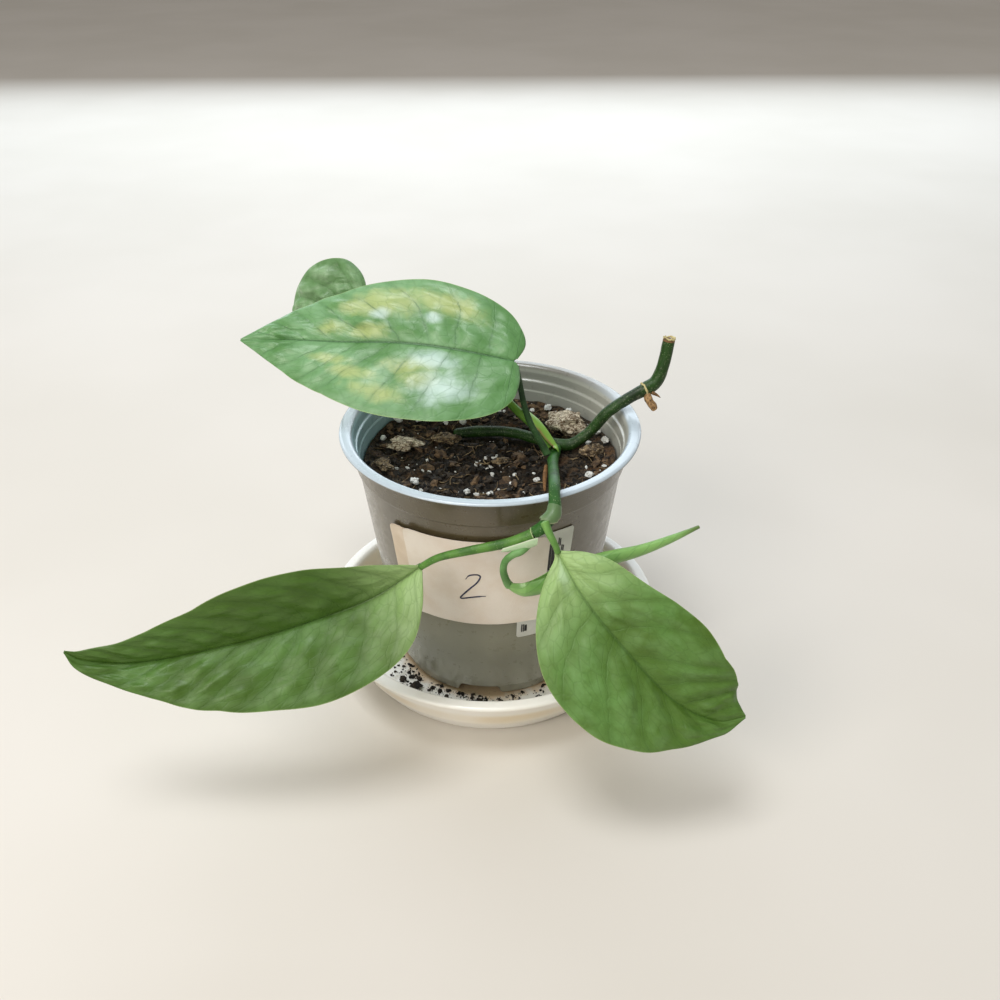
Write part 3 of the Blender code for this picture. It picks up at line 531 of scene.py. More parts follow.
STALK_R = {
    "back": ((0, 1.7), (0.2, 1.55), (1, 1.1)),
    "top": ((0, 1.45), (0.3, 1.2), (1, 0.95)),
    "right": ((0, 1.5), (0.2, 1.3), (0.5, 1.15), (1, 1.0)),
    "left": ((0, 1.95), (0.2, 1.65), (0.6, 1.4), (1, 1.1)),
    "new": ((0, 1.2), (0.5, 1.15), (0.85, 1.3), (1, 1.5)),
}
for which, points in {"old stem": OLD_STEM, "shoot": SHOOT, **STALKS}.items():
    print(f"{which}: {smooth_path(points, 9)[2]:.0f} mm long")

# %% [markdown]
# ## Stem finishes
# A living stem is smooth and satin with fine pale specks. An old one is darker, with grey-brown scuffs. The
# green drifts along its length. Dried skin is matt and streaked along the way it grew. The tube
# helper leaves the distance along the stem in a UV map, so streaks can follow a bend.

# %% Stem finishes
def stem_finish(name, colour, dark, specks=srgb(170, 190, 140), speck_share=0.35, scuffs=0.0, roughness=0.48):
    f = Finish(name, roughness, Specular_IOR_Level=0.3, Coat_Weight=0.06, Coat_Roughness=0.3)
    _, along, around = f.uv("stem")
    drift = f.mix(f.spread(f.noise(0.16, 3), 0.35, 0.7), colour, dark)
    line = f.streaks(along, 0.12, around, 26.0)
    streaked = f.mix(f.times(f.spread(f.noise(1.0, 3, line), 0.5, 0.75), 0.4), drift, dark)
    spot = f.times(f.spread(f.cells(1.5), 0.3, 0.16), f.spread(f.noise(0.6, 2), 0.4, 0.55))
    specked = f.mix(f.times(spot, speck_share), streaked, specks)
    scuff = f.times(f.spread(f.noise(0.7, 5, roughness=0.7), 0.55, 0.66), scuffs)
    return f.done(f.mix(scuff, specked, srgb(176, 172, 150)), f.bump(f.noise(1.0, 3, line), 0.10))


def dry_finish(name, colour, dark, roughness=0.75, streak=0.7, pits=0.0):
    f = Finish(name, roughness)
    fibre = f.add("ShaderNodeMapping", {"Vector": f.mm, "Scale": (1.0, 1.0, 0.35)})
    strands = f.noise(1.6, 5, fibre, roughness=0.7)
    tone = f.mix(f.times(f.spread(strands, 0.4, 0.65), streak), colour, dark)
    patched = f.mix(f.times(f.spread(f.noise(0.5, 3), 0.55, 0.7), 0.4), tone, dark)
    pit = f.times(f.spread(f.noise(0.95, 4, roughness=0.7), 0.54, 0.62), pits)
    return f.done(f.mix(pit, patched, srgb(24, 18, 14)), f.bump(strands, 0.25))


OLD_GREEN = stem_finish("old_stem_green", srgb(38, 72, 20), srgb(22, 44, 12), scuffs=0.16)
SHOOT_GREEN = stem_finish("shoot_green", srgb(46, 98, 32), srgb(28, 68, 20), speck_share=0.55)
STALK_GREEN = stem_finish("stalk_green", srgb(124, 172, 60), srgb(78, 126, 40), speck_share=0.2)
STALK_DARK = stem_finish("stalk_dark", srgb(60, 96, 52), srgb(40, 66, 36), speck_share=0.2)
STALK_LEFT = stem_finish("stalk_left_green", srgb(92, 138, 58), srgb(56, 98, 38), speck_share=0.3)
STALK_PALE = stem_finish("stalk_pale_green", srgb(122, 170, 88), srgb(88, 136, 62), speck_share=0.15)
STALK_YOUNG = stem_finish("stalk_young_green", srgb(116, 162, 98), srgb(84, 130, 68), speck_share=0.15)
ROOT_BROWN = dry_finish("root_brown", srgb(138, 98, 54), srgb(74, 48, 26))
DRY_TAN = dry_finish("dry_tan", srgb(186, 148, 100), srgb(70, 46, 28), pits=0.8)
CUT_WOOD = dry_finish("cut_wood", srgb(134, 100, 62), srgb(52, 36, 22), pits=0.6)

# %% Make the stems
def make_stem(name, points, radii, finish, node, slot, cut_end=False, **more):
    verts, faces, maps = tube(points, radii, **more)
    kinds = np.zeros(len(faces))
    if cut_end:
        # the far cap, which comes last, and the two rings of faces next to it
        kinds[-1] = 1
        kinds[-2 - 2 * more["sides"] : -2] = 1
    finishes = [finish, CUT_WOOD] if cut_end else [finish]
    return make_piece(name, verts, faces, finishes, node, slot, kinds, {"stem": maps}, sharp=60)


make_stem("old_cutting", OLD_STEM, OLD_STEM_R, OLD_GREEN, "old_stem", "old_stem_green",
          cut_end=True, sides=40, blunt=(1.2, 0.25), wobble=0.05)
make_stem("young_shoot", SHOOT, SHOOT_R, SHOOT_GREEN, "shoot_stem", "shoot_green", sides=36, seed=3.0)
make_stem("dry_root_stub", DRY_ROOT, ((0, 1.25), (0.35, 1.7), (0.7, 1.45), (1, 1.15)), DRY_TAN, "dried_root",
          "dry_skin", per_mm=4, wobble=0.35, seed=5.0)
make_stem("foot_root", AERIAL_ROOT, ((0, 0.7), (0.5, 0.85), (1, 0.4)), ROOT_BROWN, "aerial_root", "dry_skin",
          per_mm=3, wobble=0.2, seed=8.0)
STALK_LOOKS = {"back": STALK_GREEN, "top": STALK_DARK, "right": STALK_PALE, "left": STALK_LEFT,
               "new": STALK_YOUNG}
STALK_SLOTS = {"top": "stalk_dark", "left": "shoot_green"}
for which, points in STALKS.items():
    make_stem(f"leaf_stalk_{which}", points, STALK_R[which], STALK_LOOKS[which], f"stalk_{which}",
              STALK_SLOTS.get(which, "stalk_green"), per_mm=2.2, seed=len(which))

# %% [markdown]
# ## The leaf blades
# A blade is a grid. Its rows follow the side veins, which leave the midrib, lean back near the base and
# forward beyond the middle. Its columns run from the far edge over the midrib to the near edge. The two
# halves stand at their own angles, so the blade is folded along the midrib.
#
# The skin between two side veins is puffed up like a quilt. Painting that on with a bump alone would look
# flat from the side, so the puffs move the real points. The same numbers go into a UV map called
# "veins": one whole step along it is one side vein. The finish can then draw its veins exactly where the
# quilting has its valleys.

# %% Blade shapes
STATIONS = (0.0, 0.03, 0.08, 0.15, 0.28, 0.42, 0.56, 0.70, 0.82, 0.92, 1.0)
BLADE_T = 0.5
LEAN = (-25.0, 38.0)
LEAN_AT = (0.0, 0.5, 0.8, 1.0)  # shares of the blade where the lean changes
TIP_LEAN = 0.8
CALM_REACH = 0.16  # share of the blade over which the direction of the halves is averaged
BLADES = {
    "left": {
        "midrib": ((-23, -60, 82.3), (-38.6, -62.5, 72), (-56, -66, 66.2), (-74.4, -70, 62.1),
                   (-94, -74, 59.4), (-114.6, -77, 57.4), (-130, -79.4, 60.4), (-136.2, -80.4, 65.2)),
        "far": (0.5, 3.5, 8.1, 14.2, 22.4, 25.2, 21.1, 15.3, 10.2, 5.6, 0.4),
        "near": (0.5, 4.9, 12.7, 21.2, 27.3, 26.7, 23.0, 15.5, 9.4, 5.0, 0.4),
        "rise": 92.0, "fall": 40.0, "arch": 1.0, "veins": 11, "puff": (0.7, 0.6), "seed": 1.0},
    "top": {
        "midrib": ((8.6, 0, 127.6), (-11, 4, 130.2), (-30.5, 8, 131.2), (-53.4, 12, 130),
                   (-72.7, 16, 129.2), (-91.1, 18, 128.4)),
        "far": (1.5, 8.8, 14.9, 20.2, 24.9, 25.4, 22.3, 16.1, 10.0, 4.7, 0.4),
        "near": (3.0, 10.4, 19.2, 25.1, 29.1, 29.1, 24.4, 17.6, 11.1, 5.1, 0.4),
        "rise": 42.0, "fall": 38.0, "arch": 1.6, "veins": 9, "puff": (0.95, 0.5), "seed": 2.3,
        "lean": (-46.0, 38.0)},
    "right": {
        "midrib": ((21.1, -66, 91.8), (29.2, -75, 80.3), (42.3, -84, 66.4), (57.4, -91, 51.7),
                   (71, -93.5, 45), (81.1, -92, 44.9)),
        "far": (1.0, 3.8, 9.1, 14.7, 20.6, 27.4, 27.2, 21.6, 14.6, 7.4, 0.4),
        "near": (1.0, 2.6, 7.4, 14.0, 25.5, 29.3, 24.4, 15.3, 8.0, 3.5, 0.4),
        "rise": 56.0, "fall": 42.0, "arch": 1.4, "veins": 8, "puff": (0.75, 0.7), "seed": 3.7,
        "mirror": True},
    "back": {
        "midrib": ((-47.0, 40.5, 137.2), (-54, 42, 135.7), (-62, 44, 130.7), (-69, 47, 122.5),
                   (-75, 50, 111), (-78, 52.5, 101)),
        "far": (1.0, 5.5, 10.3, 14.5, 17.2, 16.0, 13.2, 9.8, 6.4, 3.0, 0.4),
        "near": (1.0, 4.9, 8.8, 12.2, 15.0, 15.6, 14.2, 11.0, 7.0, 3.5, 0.4),
        "rise": 66.0, "fall": 46.0, "arch": 2.2, "veins": 8, "puff": (1.4, 1.2), "seed": 5.1},
}


def half_directions(way, spec):
    """Directions from the midrib into the far and near halves, and the blade's upper side."""
    level = np.cross(way, (0.0, 0.0, 1.0))
    level /= np.linalg.norm(level)
    up = np.cross(level, way)
    if spec.get("mirror"):
        level = -level
    rise, fall = math.radians(spec["rise"]), math.radians(spec["fall"])
    far = math.cos(rise) * level + math.sin(rise) * up
    near = -math.cos(fall) * level - math.sin(fall) * up
    face = np.cross(way, far) + np.cross(near, way)
    face /= np.linalg.norm(face)
    return far, near, face if face[2] > 0 else -face


def calmed(way, reach):
    """Directions averaged over their neighbours, so that a bent midrib doesn't crease the leaf's edge."""
    padded = np.pad(way, ((reach, reach), (0, 0)), mode="edge")
    span = 2 * reach + 1
    calm = np.stack([np.convolve(padded[:, k], np.ones(span) / span, "valid") for k in range(3)], 1)
    return calm / np.linalg.norm(calm, axis=1, keepdims=True)


def smooth_widths(widths, shares):
    """Half-widths between the stations, on a smooth curve."""
    marks = [(100 * s, w, 0) for s, w in zip(STATIONS, widths)]
    path = smooth_path(marks, 500)[0]
    return np.interp(shares * 100, path[:, 0], path[:, 1])


def soft_step(value, low, high):
    """0 below low, 1 above high and a smooth rise between them."""
    t = np.clip((value - low) / (high - low), 0, 1)
    return t * t * (3 - 2 * t)


# %% Quilting
VEIN_SWEEP = 0.06  # how much further towards the tip a vein reaches at the edge, in shares of the blade
CELL_MM = 11.0  # usual distance between two side veins
GROOVE_W, GROOVE_D = 0.8, 0.35  # the midrib's groove in the upper side
RIB_R = (1.25, 0.25)  # radius of the midrib's rib under the blade, at its base and tip


def vein_phase(share, out, side, spec):
    """Whole numbers of this fall on side veins. side is 1 for the far half and -1 for the near one."""
    wander = noise.noise(Vector((share * 5.0, out * 1.5 + side, spec["seed"])))
    sweep = VEIN_SWEEP * out + 0.04 * out * out
    return spec["veins"] * (share - sweep) + 0.28 * wander + (0.25 if side > 0 else 0.0)


def puff(share, out, side, spec):
    """How far the skin stands up between its veins, in millimetres."""
    phase = vein_phase(share, out, side, spec)
    swell = math.sin(math.pi * phase) ** 2 - 0.5
    inside = soft_step(out, 0.02, 0.25) * (1 - soft_step(out, 0.72, 1.0))
    ends = soft_step(share, 0.02, 0.14) * (1 - soft_step(share, 0.84, 0.98))
    cross = noise.noise(Vector((phase * 1.1, out * 4.5 + 7 * side, spec["seed"] * 3)))
    fine = noise.noise(Vector((phase * 3.0, out * 12.0 + 7 * side, spec["seed"])))
    return spec["puff"][side < 0] * inside * ends * (swell * (1.0 + 0.9 * cross) + 1.1 * cross + 0.25 * fine)


def blade_points(spec, rows, half_cols):
    """Grid of the blade's middle surface, with its two maps and the distance to the midrib."""
    path, way, _ = smooth_path(spec["midrib"], rows)
    way = calmed(way, int(CALM_REACH * rows))
    shares = np.linspace(0, 1, rows)
    widths = {side: smooth_widths(spec[side], shares) for side in ("far", "near")}
    outs = np.linspace(0, 1, half_cols + 1) ** 1.15
    grid = np.zeros((rows, 2 * half_cols + 1, 3))
    lift = np.zeros((rows, 2 * half_cols + 1))
    blade_map, vein_map = np.zeros((*lift.shape, 2)), np.zeros((*lift.shape, 2))
    away = np.zeros(lift.shape)
    back, forward = spec.get("lean", LEAN)
    for i in range(rows):
        lean = math.radians(np.interp(shares[i], LEAN_AT, (back, forward, forward, TIP_LEAN * forward)))
        far, near, face = half_directions(way[i], spec)
        for out, name, side in ((far, "far", 1), (near, "near", -1)):
            width = widths[name][i]
            ragged = 1 + 0.012 * noise.noise(Vector((shares[i] * 14, side, spec["seed"])))
            leaned = out * math.cos(lean) + way[i] * math.sin(lean)
            for k, s in enumerate(outs):
                j = half_cols - side * k
                wave = 0.5 * s * s * noise.noise(Vector((shares[i] * 6, side * 3, spec["seed"] + 9)))
                arch = spec["arch"] * 4 * s * (1 - s) * min(1.0, width / 12.0)
                grid[i, j] = path[i] + leaned * width * s * ragged + face * (arch + wave)
                lift[i, j] = puff(shares[i], s, side, spec)
                away[i, j] = width * s
                blade_map[i, j] = shares[i], 0.5 + 0.5 * side * s
                vein_map[i, j] = vein_phase(shares[i], s, side, spec), side * (0.5 + width * s / CELL_MM)
    return grid, lift, away, blade_map, vein_map, shares


def make_blade(which, spec, finish, under, rows=150, half_cols=40):
    grid, lift, away, blade_map, vein_map, shares = blade_points(spec, rows, half_cols)
    out = surface_out(grid)
    if out[rows // 2, half_cols, 2] < 0:
        out = -out
    groove = GROOVE_D * np.exp(-((away / GROOVE_W) ** 2)) * (1 - 0.6 * shares[:, None])
    rib_r = np.interp(shares, (0, 1), RIB_R)[:, None]
    rib = np.sqrt(np.clip(rib_r ** 2 - away ** 2, 0, None)) * 1.2
    edge = 1 - 0.7 * soft_step(np.abs(blade_map[:, :, 1] - 0.5) * 2, 0.93, 1.0)
    front = grid + out * (lift - groove + BLADE_T / 2 * edge)[:, :, None]
    rear = grid + out * (lift * 0.9 - rib - BLADE_T / 2 * edge)[:, :, None]
    verts, faces, kinds = closed_sheet(front, rear)
    return make_piece(f"leaf_{which}", verts, faces, [finish, under], f"blade_{which}", "leaf_green", kinds,
                      {"blade": both_sides(blade_map), "veins": both_sides(vein_map)}, sharp=80)


# %% [markdown]
# ## Leaf finish
# The upper side is blue-green with a silvery bloom and a painted sheen on the puffs, thin dark veins in
# painted shade and a fine net between
# them. One leaf has patches of yellow. Pale patches are painted highlights, the paler bases are painted
# light, and one far half has painted shade. Most of that is a mix of two colours by some number:
#
# - distance to the nearest side vein, from the "veins" map;
# - distance to the nearest cell wall of a Voronoi pattern on the same map, for the net;
# - a slow noise for patches.
#
# A coat over a rougher skin gives the broad soft shine of a waxy leaf.

# %% Leaf finish
NET_PER_CELL = 3.1  # net meshes from one side vein to the next


def patches(f, share, across, spots):
    """How strongly one of several soft, uneven patches covers a place on the blade, from 0 to 1."""
    uneven = f.times(f.minus(f.noise(0.16, 5, roughness=0.55), 0.5), 2.6)
    most = None
    for at_share, at_across, half_share, half_across in spots:
        a = f.math("DIVIDE", f.minus(share, at_share), half_share)
        b = f.math("DIVIDE", f.minus(across, at_across), half_across)
        far = f.distance(a, b)
        here = f.spread(f.plus(far, uneven), 1.9, 0.2)
        most = here if most is None else f.math("MAXIMUM", most, here)
    return most


def leaf_finish(name, green, deep, pale, vein, gloss, roughness, far_shade=0.0, yellow=(), painted_highlights=(), dark=(),
                painted_base_light=None, base_reach=0.3, line_share=0.35, rib_share=0.4, bloom_and_sheen=0.35):
    f = Finish(name, roughness, Specular_IOR_Level=0.35, Coat_Weight=gloss, Coat_Roughness=0.27)
    _, share, across = f.uv("blade")
    net_place, phase, _ = f.uv("veins")
    out = f.off_middle(across)
    wavy = f.plus(phase, f.times(f.minus(f.noise(0.12, 3), 0.5), 0.3))
    off = f.off_whole(wavy)
    # tone: a slow drift, a blotchy skin, and paler crowns between the veins, partly a silvery bloom and
    # partly a painted sheen on the puffs
    drift = f.mix(f.spread(f.noise(0.05, 4), 0.34, 0.68), green, deep)
    blotches = f.spread(f.noise(0.33, 5, roughness=0.62), 0.42, 0.68)
    blotch = f.mix(f.times(blotches, 0.35), drift, deep)
    crown = f.times(f.spread(off, 0.05, 0.42), f.spread(f.noise(0.14, 4), 0.36, 0.62))
    cell = f.cells(NET_PER_CELL, net_place, "SMOOTH_F1", randomness=0.9)
    puffed = f.plus(f.times(crown, 0.7), f.times(f.spread(cell, 0.5, 0.1), 0.3))
    tone = f.mix(f.times(puffed, bloom_and_sheen), blotch, pale)
    if far_shade:
        tone = f.mix(f.times(f.spread(across, 0.49, 0.53), far_shade), tone, deep)
    if dark:
        tone = f.mix(f.times(patches(f, share, across, dark), 0.75), tone, deep)
    if yellow:
        tone = f.mix(f.times(patches(f, share, across, yellow), 0.55), tone, srgb(198, 204, 132))
    # painted highlights: pale blue-white patches of painted shine
    if painted_highlights:
        tone = f.mix(f.times(patches(f, share, across, painted_highlights), 0.65), tone, srgb(208, 232, 230))
    # painted light: the blade is paler towards its base
    if painted_base_light:
        tone = f.mix(f.times(f.spread(share, base_reach, 0.0), 0.75), tone, painted_base_light)
    # veins: painted shade in a soft valley with a thin line in it, and a faint net
    painted_valley_shade = f.times(f.spread(off, 0.16, 0.0), 0.22)
    core = f.times(f.spread(off, 0.034, 0.008), f.spread(f.noise(0.22, 3), 0.36, 0.6, 0.4, 1.0))
    line = f.times(f.times(core, line_share), f.spread(out, 1.0, 0.7))
    net = f.spread(f.cells(NET_PER_CELL, net_place, "DISTANCE_TO_EDGE", randomness=0.9), 0.08, 0.0)
    drawn = f.math("MAXIMUM", f.math("MAXIMUM", line, painted_valley_shade), f.times(net, 0.16))
    veined = f.mix(drawn, tone, vein)
    ribbed = f.mix(f.times(f.spread(out, 0.035, 0.01), rib_share), veined, vein)
    rim = f.mix(f.times(f.spread(out, 0.985, 0.998), 0.35), ribbed, srgb(178, 196, 128))
    height = f.minus(f.times(f.noise(1.8, 3), 0.3), f.plus(f.times(net, 0.6), core))
    sheen = f.spread(f.noise(0.25, 3), 0.3, 0.7, roughness - 0.08, roughness + 0.1)
    return f.done(rim, f.bump(height, 0.07), sheen)


def under_finish():
    f = Finish("leaf_underside", 0.55)
    _, _, across = f.uv("blade")
    net_place, phase, _ = f.uv("veins")
    out = f.off_middle(across)
    off = f.off_whole(phase)
    line = f.times(f.spread(off, 0.07, 0.02), f.spread(out, 1.0, 0.5))
    green = f.mix(f.spread(f.noise(0.12, 4), 0.35, 0.7), srgb(128, 160, 104), srgb(108, 142, 88))
    net = f.spread(f.cells(NET_PER_CELL, net_place, "DISTANCE_TO_EDGE"), 0.07, 0.01)
    ribs = f.math("MAXIMUM", line, f.spread(out, 0.07, 0.02))
    pale = f.mix(f.times(ribs, 0.6), green, srgb(176, 200, 140))
    return f.done(f.mix(f.times(net, 0.2), pale, srgb(84, 118, 66)), f.bump(f.plus(line, net), 0.08))


UNDERSIDE_GREEN = under_finish()
LEAF_LOOKS = {
    "top": leaf_finish(
        "leaf_top_variegated", srgb(122, 168, 116), srgb(84, 134, 70), srgb(146, 186, 146), srgb(58, 100, 56),
        0.26, 0.42, bloom_and_sheen=0.35, line_share=0.6, rib_share=0.75,
        yellow=((0.50, 0.60, 0.06, 0.05), (0.26, 0.83, 0.07, 0.08), (0.59, 0.29, 0.07, 0.04),
                (0.48, 0.22, 0.06, 0.04), (0.34, 0.34, 0.06, 0.05), (0.30, 0.25, 0.04, 0.05),
                (0.39, 0.14, 0.05, 0.05), (0.42, 0.82, 0.10, 0.08), (0.62, 0.66, 0.06, 0.06)),
        painted_highlights=((0.28, 0.40, 0.06, 0.05), (0.24, 0.21, 0.06, 0.08), (0.44, 0.73, 0.02, 0.03),
                (0.30, 0.70, 0.02, 0.03)),
        dark=((0.06, 0.82, 0.15, 0.30), (0.07, 0.28, 0.10, 0.18), (0.36, 0.60, 0.05, 0.04))),
    "left": leaf_finish(
        "leaf_left_green", srgb(80, 120, 48), srgb(64, 96, 20), srgb(114, 150, 86), srgb(50, 84, 22),
        0.12, 0.5, far_shade=0.6, painted_base_light=srgb(168, 198, 132), base_reach=0.26, line_share=0.2,
        rib_share=0.3, bloom_and_sheen=0.42),
    "right": leaf_finish(
        "leaf_right_green", srgb(96, 138, 66), srgb(74, 106, 30), srgb(124, 164, 102), srgb(56, 90, 30),
        0.12, 0.5, painted_base_light=srgb(176, 206, 138), base_reach=0.34, line_share=0.2, rib_share=0.45,
        bloom_and_sheen=0.5, dark=((0.75, 0.6, 0.25, 0.6),), painted_highlights=((0.06, 0.38, 0.06, 0.07),)),
    "back": leaf_finish(
        "leaf_back_green", srgb(118, 158, 108), srgb(78, 118, 62), srgb(166, 198, 158), srgb(54, 92, 44),
        0.2, 0.45, bloom_and_sheen=0.6, line_share=0.3),
}
for which, spec in BLADES.items():
    make_blade(which, spec, LEAF_LOOKS[which], UNDERSIDE_GREEN)

# %% [markdown]
# ## The rolled leaf
# The youngest leaf hasn't opened. It is the same sheet, rolled about its own length: a wide trough at its
# base that winds into a spiral and ends in a thin pointed quill. The turn grows along the way while the
# radius shrinks, and each further turn lies a little inside the last.

# %% Make the rolled leaf
ROLL_AXIS = ((5.3, -62.2, 76.6), (10.5, -61, 75.0), (18, -60, 76.3), (36, -56, 81.4),
             (49.5, -53, 83.3), (60, -50.5, 86), (69.5, -48, 89.0))
ROLL_STATIONS = (0.0, 0.08, 0.2, 0.5, 0.67, 0.83, 1.0)
ROLL_R = (1.3, 3.9, 4.2, 3.0, 2.2, 1.5, 0.5)
ROLL_TURN = (150.0, 205.0, 230.0, 360.0, 430.0, 430.0, 400.0)
ROLL_TIGHTER = 0.40
ROLL_OPEN_AT = -50.0
SKIN = 0.35


def young_finish():
    f = Finish("leaf_young_green", 0.38, Coat_Weight=0.4, Coat_Roughness=0.25)
    _, along, around = f.uv("roll")
    tone = f.mix(f.spread(f.noise(0.12, 3), 0.35, 0.7), srgb(136, 184, 100), srgb(104, 154, 74))
    slant = f.plus(f.times(along, 13.0), f.times(around, 5.0))
    off = f.math("ABSOLUTE", f.minus(f.math("FRACT", slant), 0.5))
    veined = f.mix(f.times(f.spread(off, 0.09, 0.02), 0.3), tone, srgb(74, 122, 58))
    tip = f.mix(f.spread(along, 0.86, 1.0), veined, srgb(96, 122, 60))
    return f.done(tip, f.bump(f.spread(off, 0.12, 0.0), 0.05))


def make_rolled_leaf(rows=120, cols=72):
    path, way, _ = smooth_path(ROLL_AXIS, rows)
    across, up = carried_frames(way)
    grid, pairs = np.zeros((rows, cols, 3)), np.zeros((rows, cols, 2))
    for i, share in enumerate(np.linspace(0, 1, rows)):
        radius = np.interp(share, ROLL_STATIONS, ROLL_R)
        turn = np.interp(share, ROLL_STATIONS, ROLL_TURN)
        for k, part in enumerate(np.linspace(0, turn, cols)):
            a = math.radians(ROLL_OPEN_AT + part)
            r = radius * (1.0 - ROLL_TIGHTER * part / max(ROLL_TURN))
            grid[i, k] = path[i] + r * (math.cos(a) * across[i] + math.sin(a) * up[i])
            pairs[i, k] = share, k / (cols - 1)
    out = surface_out(grid) * SKIN / 2
    verts, faces, _ = closed_sheet(grid + out, grid - out)
    return make_piece("leaf_rolled", verts, faces, young_finish(), "blade_new", "leaf_young",
                      maps={"roll": both_sides(pairs)}, sharp=80)


make_rolled_leaf()

# %% [markdown]
# ## Sheaths and scars
# Each leaf grew out of a sheath that wrapped the stem. They are left behind as thin skins: a green one with a
# dried edge, a pale one, and a papery ring. Each is a strip bent round its stalk. A noise makes the strip
# wider and narrower, so its edge looks torn and not cut.

# %% Make the sheaths
SHEATHS = {
    "back": (((23.0, -2.4, 91.4), *STALKS["back"][:3]), (2.15, 2.5, 2.9, 2.5), (150, 200, 215, 90), 170.0),
    "right": (((20.2, -58.4, 104.3), (19.6, -60.9, 102.9), (17.4, -62.6, 100.8)), (2.15, 2.45, 2.6),
              (285, 225, 120), 110.0),
}
WING_TOP = ((14.8, -64.2, 96.6), (12.4, -64.5, 96.0), (8.6, -64.4, 94.4), (3.6, -64.2, 92.4))
WING_FOOT = ((14.4, -65.0, 94.1), (11.2, -65.0, 92.9), (7.6, -64.7, 91.7), (3.0, -64.2, 91.3))


def sheath_finish(name, skin, dried, dried_share, roughness=0.5):
    f = Finish(name, roughness, Coat_Weight=0.2, Coat_Roughness=0.3)
    _, along, around = f.uv("strip")
    edge = f.off_middle(around)
    line = f.streaks(along, 1.5, around, 18.0)
    strands = f.noise(1.2, 4, line)
    reach = f.plus(edge, f.times(f.minus(strands, 0.5), 0.5))
    end = f.times(f.spread(along, 0.72, 1.0), dried_share)
    worn = f.math("MAXIMUM", f.spread(reach, 1.0 - dried_share, 1.02), end)
    return f.done(f.mix(worn, skin, dried), f.bump(strands, 0.12))


SHEATH_LOOKS = {
    "back": (sheath_finish("sheath_green", srgb(140, 190, 74), srgb(158, 124, 76), 0.3), "stalk_green"),
    "right": (sheath_finish("sheath_papery", srgb(90, 120, 74), srgb(160, 166, 128), 0.22, 0.45), "dry_skin"),
}


def make_sheath(which, rows=48, cols=40):
    points, radii, widths, open_to = SHEATHS[which]
    path, way, _ = smooth_path(points, rows)
    across, up = carried_frames(way)
    marks = np.linspace(0, 1, len(radii))
    grid, pairs = np.zeros((rows, cols, 3)), np.zeros((rows, cols, 2))
    for i, share in enumerate(np.linspace(0, 1, rows)):
        torn = 1 + 0.16 * noise.noise(Vector((share * 7, len(which), 2.0)))
        half, radius = np.interp(share, marks, widths) / 2 * torn, np.interp(share, marks, radii)
        ends = (1 if share > 0.5 else -0.4) * abs(2 * share - 1)
        for k, a in enumerate(np.radians(np.linspace(open_to + 180 - half, open_to + 180 + half, cols))):
            s = 2 * k / (cols - 1) - 1
            r = radius + 0.35 * s * s * noise.noise(Vector((share * 5, s * 2, len(which))))
            slip = 0.9 * noise.noise(Vector((s * 4, len(which) * 1.7, 5.0))) * ends
            grid[i, k] = path[i] + way[i] * slip + r * (math.cos(a) * across[i] + math.sin(a) * up[i])
            pairs[i, k] = share, k / (cols - 1)
    thick = 0.14 * surface_out(grid)
    verts, faces, _ = closed_sheet(grid + thick, grid - thick)
    finish, slot = SHEATH_LOOKS[which]
    return make_piece(f"leaf_sheath_{which}", verts, faces, finish, f"sheath_{which}", slot,
                      maps={"strip": both_sides(pairs)}, sharp=70)


for which in SHEATHS:
    make_sheath(which)

# %% Make the pale wing under the left stalk
WING_BULGE = 0.5
WING_OUT = np.array((0, -0.85, -0.5))  # direction in which the wing bulges
PALE_SKIN = sheath_finish("sheath_pale", srgb(168, 194, 152), srgb(206, 214, 188), 0.35)


def make_wing(rows=48, cols=18):
    """A thin strip between two edges that bulges outwards and is torn along its lower edge."""
    above, below = smooth_path(WING_TOP, rows)[0], smooth_path(WING_FOOT, rows)[0]
    grid, pairs = np.zeros((rows, cols, 3)), np.zeros((rows, cols, 2))
    for i in range(rows):
        for k, s in enumerate(np.linspace(0, 1, cols)):
            torn = 0.35 * s ** 4 * noise.noise(Vector((i * 0.3, 1.0, 4.0)))
            bulge = WING_OUT * WING_BULGE * 4 * s * (1 - s)
            grid[i, k] = above[i] * (1 - s) + below[i] * s + bulge + (0, 0, torn)
            pairs[i, k] = i / (rows - 1), s
    thick = 0.14 * surface_out(grid)
    verts, faces, _ = closed_sheet(grid + thick, grid - thick)
    return make_piece("leaf_sheath_left", verts, faces, PALE_SKIN, "sheath_left", "pale_skin",
                      maps={"strip": both_sides(pairs)}, sharp=70)


make_wing()

# %% Make the rings of dry skin and the thorn
SCAR_AT = (57.4, 9.6, 111.3)
NODE_AT = (13.2, -62.5, 96.8)
THORN = ((59.6, 7.7, 110.9), (61.4, 6.9, 110.3), (62.9, 6.3, 109.4))
PALE_RING = dry_finish("scar_cream", srgb(214, 204, 150), srgb(150, 116, 62), streak=0.5)
GREEN_RING = dry_finish("ring_pale_green", srgb(176, 198, 140), srgb(116, 150, 84), streak=0.5)
# outlines as (radius, height) round a ring's own axis
SCAR_RING = [(2.4, -0.4), (2.7, -0.38), (2.9, -0.1), (3.05, 0.2), (2.9, 0.35), (2.5, 0.25)]
NODE_RING = [(1.7, -0.2), (2.1, -0.18), (2.2, 0.03), (2.1, 0.2), (1.7, 0.15)]
CUT_RING = [(1.9, -0.4), (2.25, -0.45), (2.36, -0.1), (2.3, 0.2), (2.05, 0.25), (1.85, 0.0)]


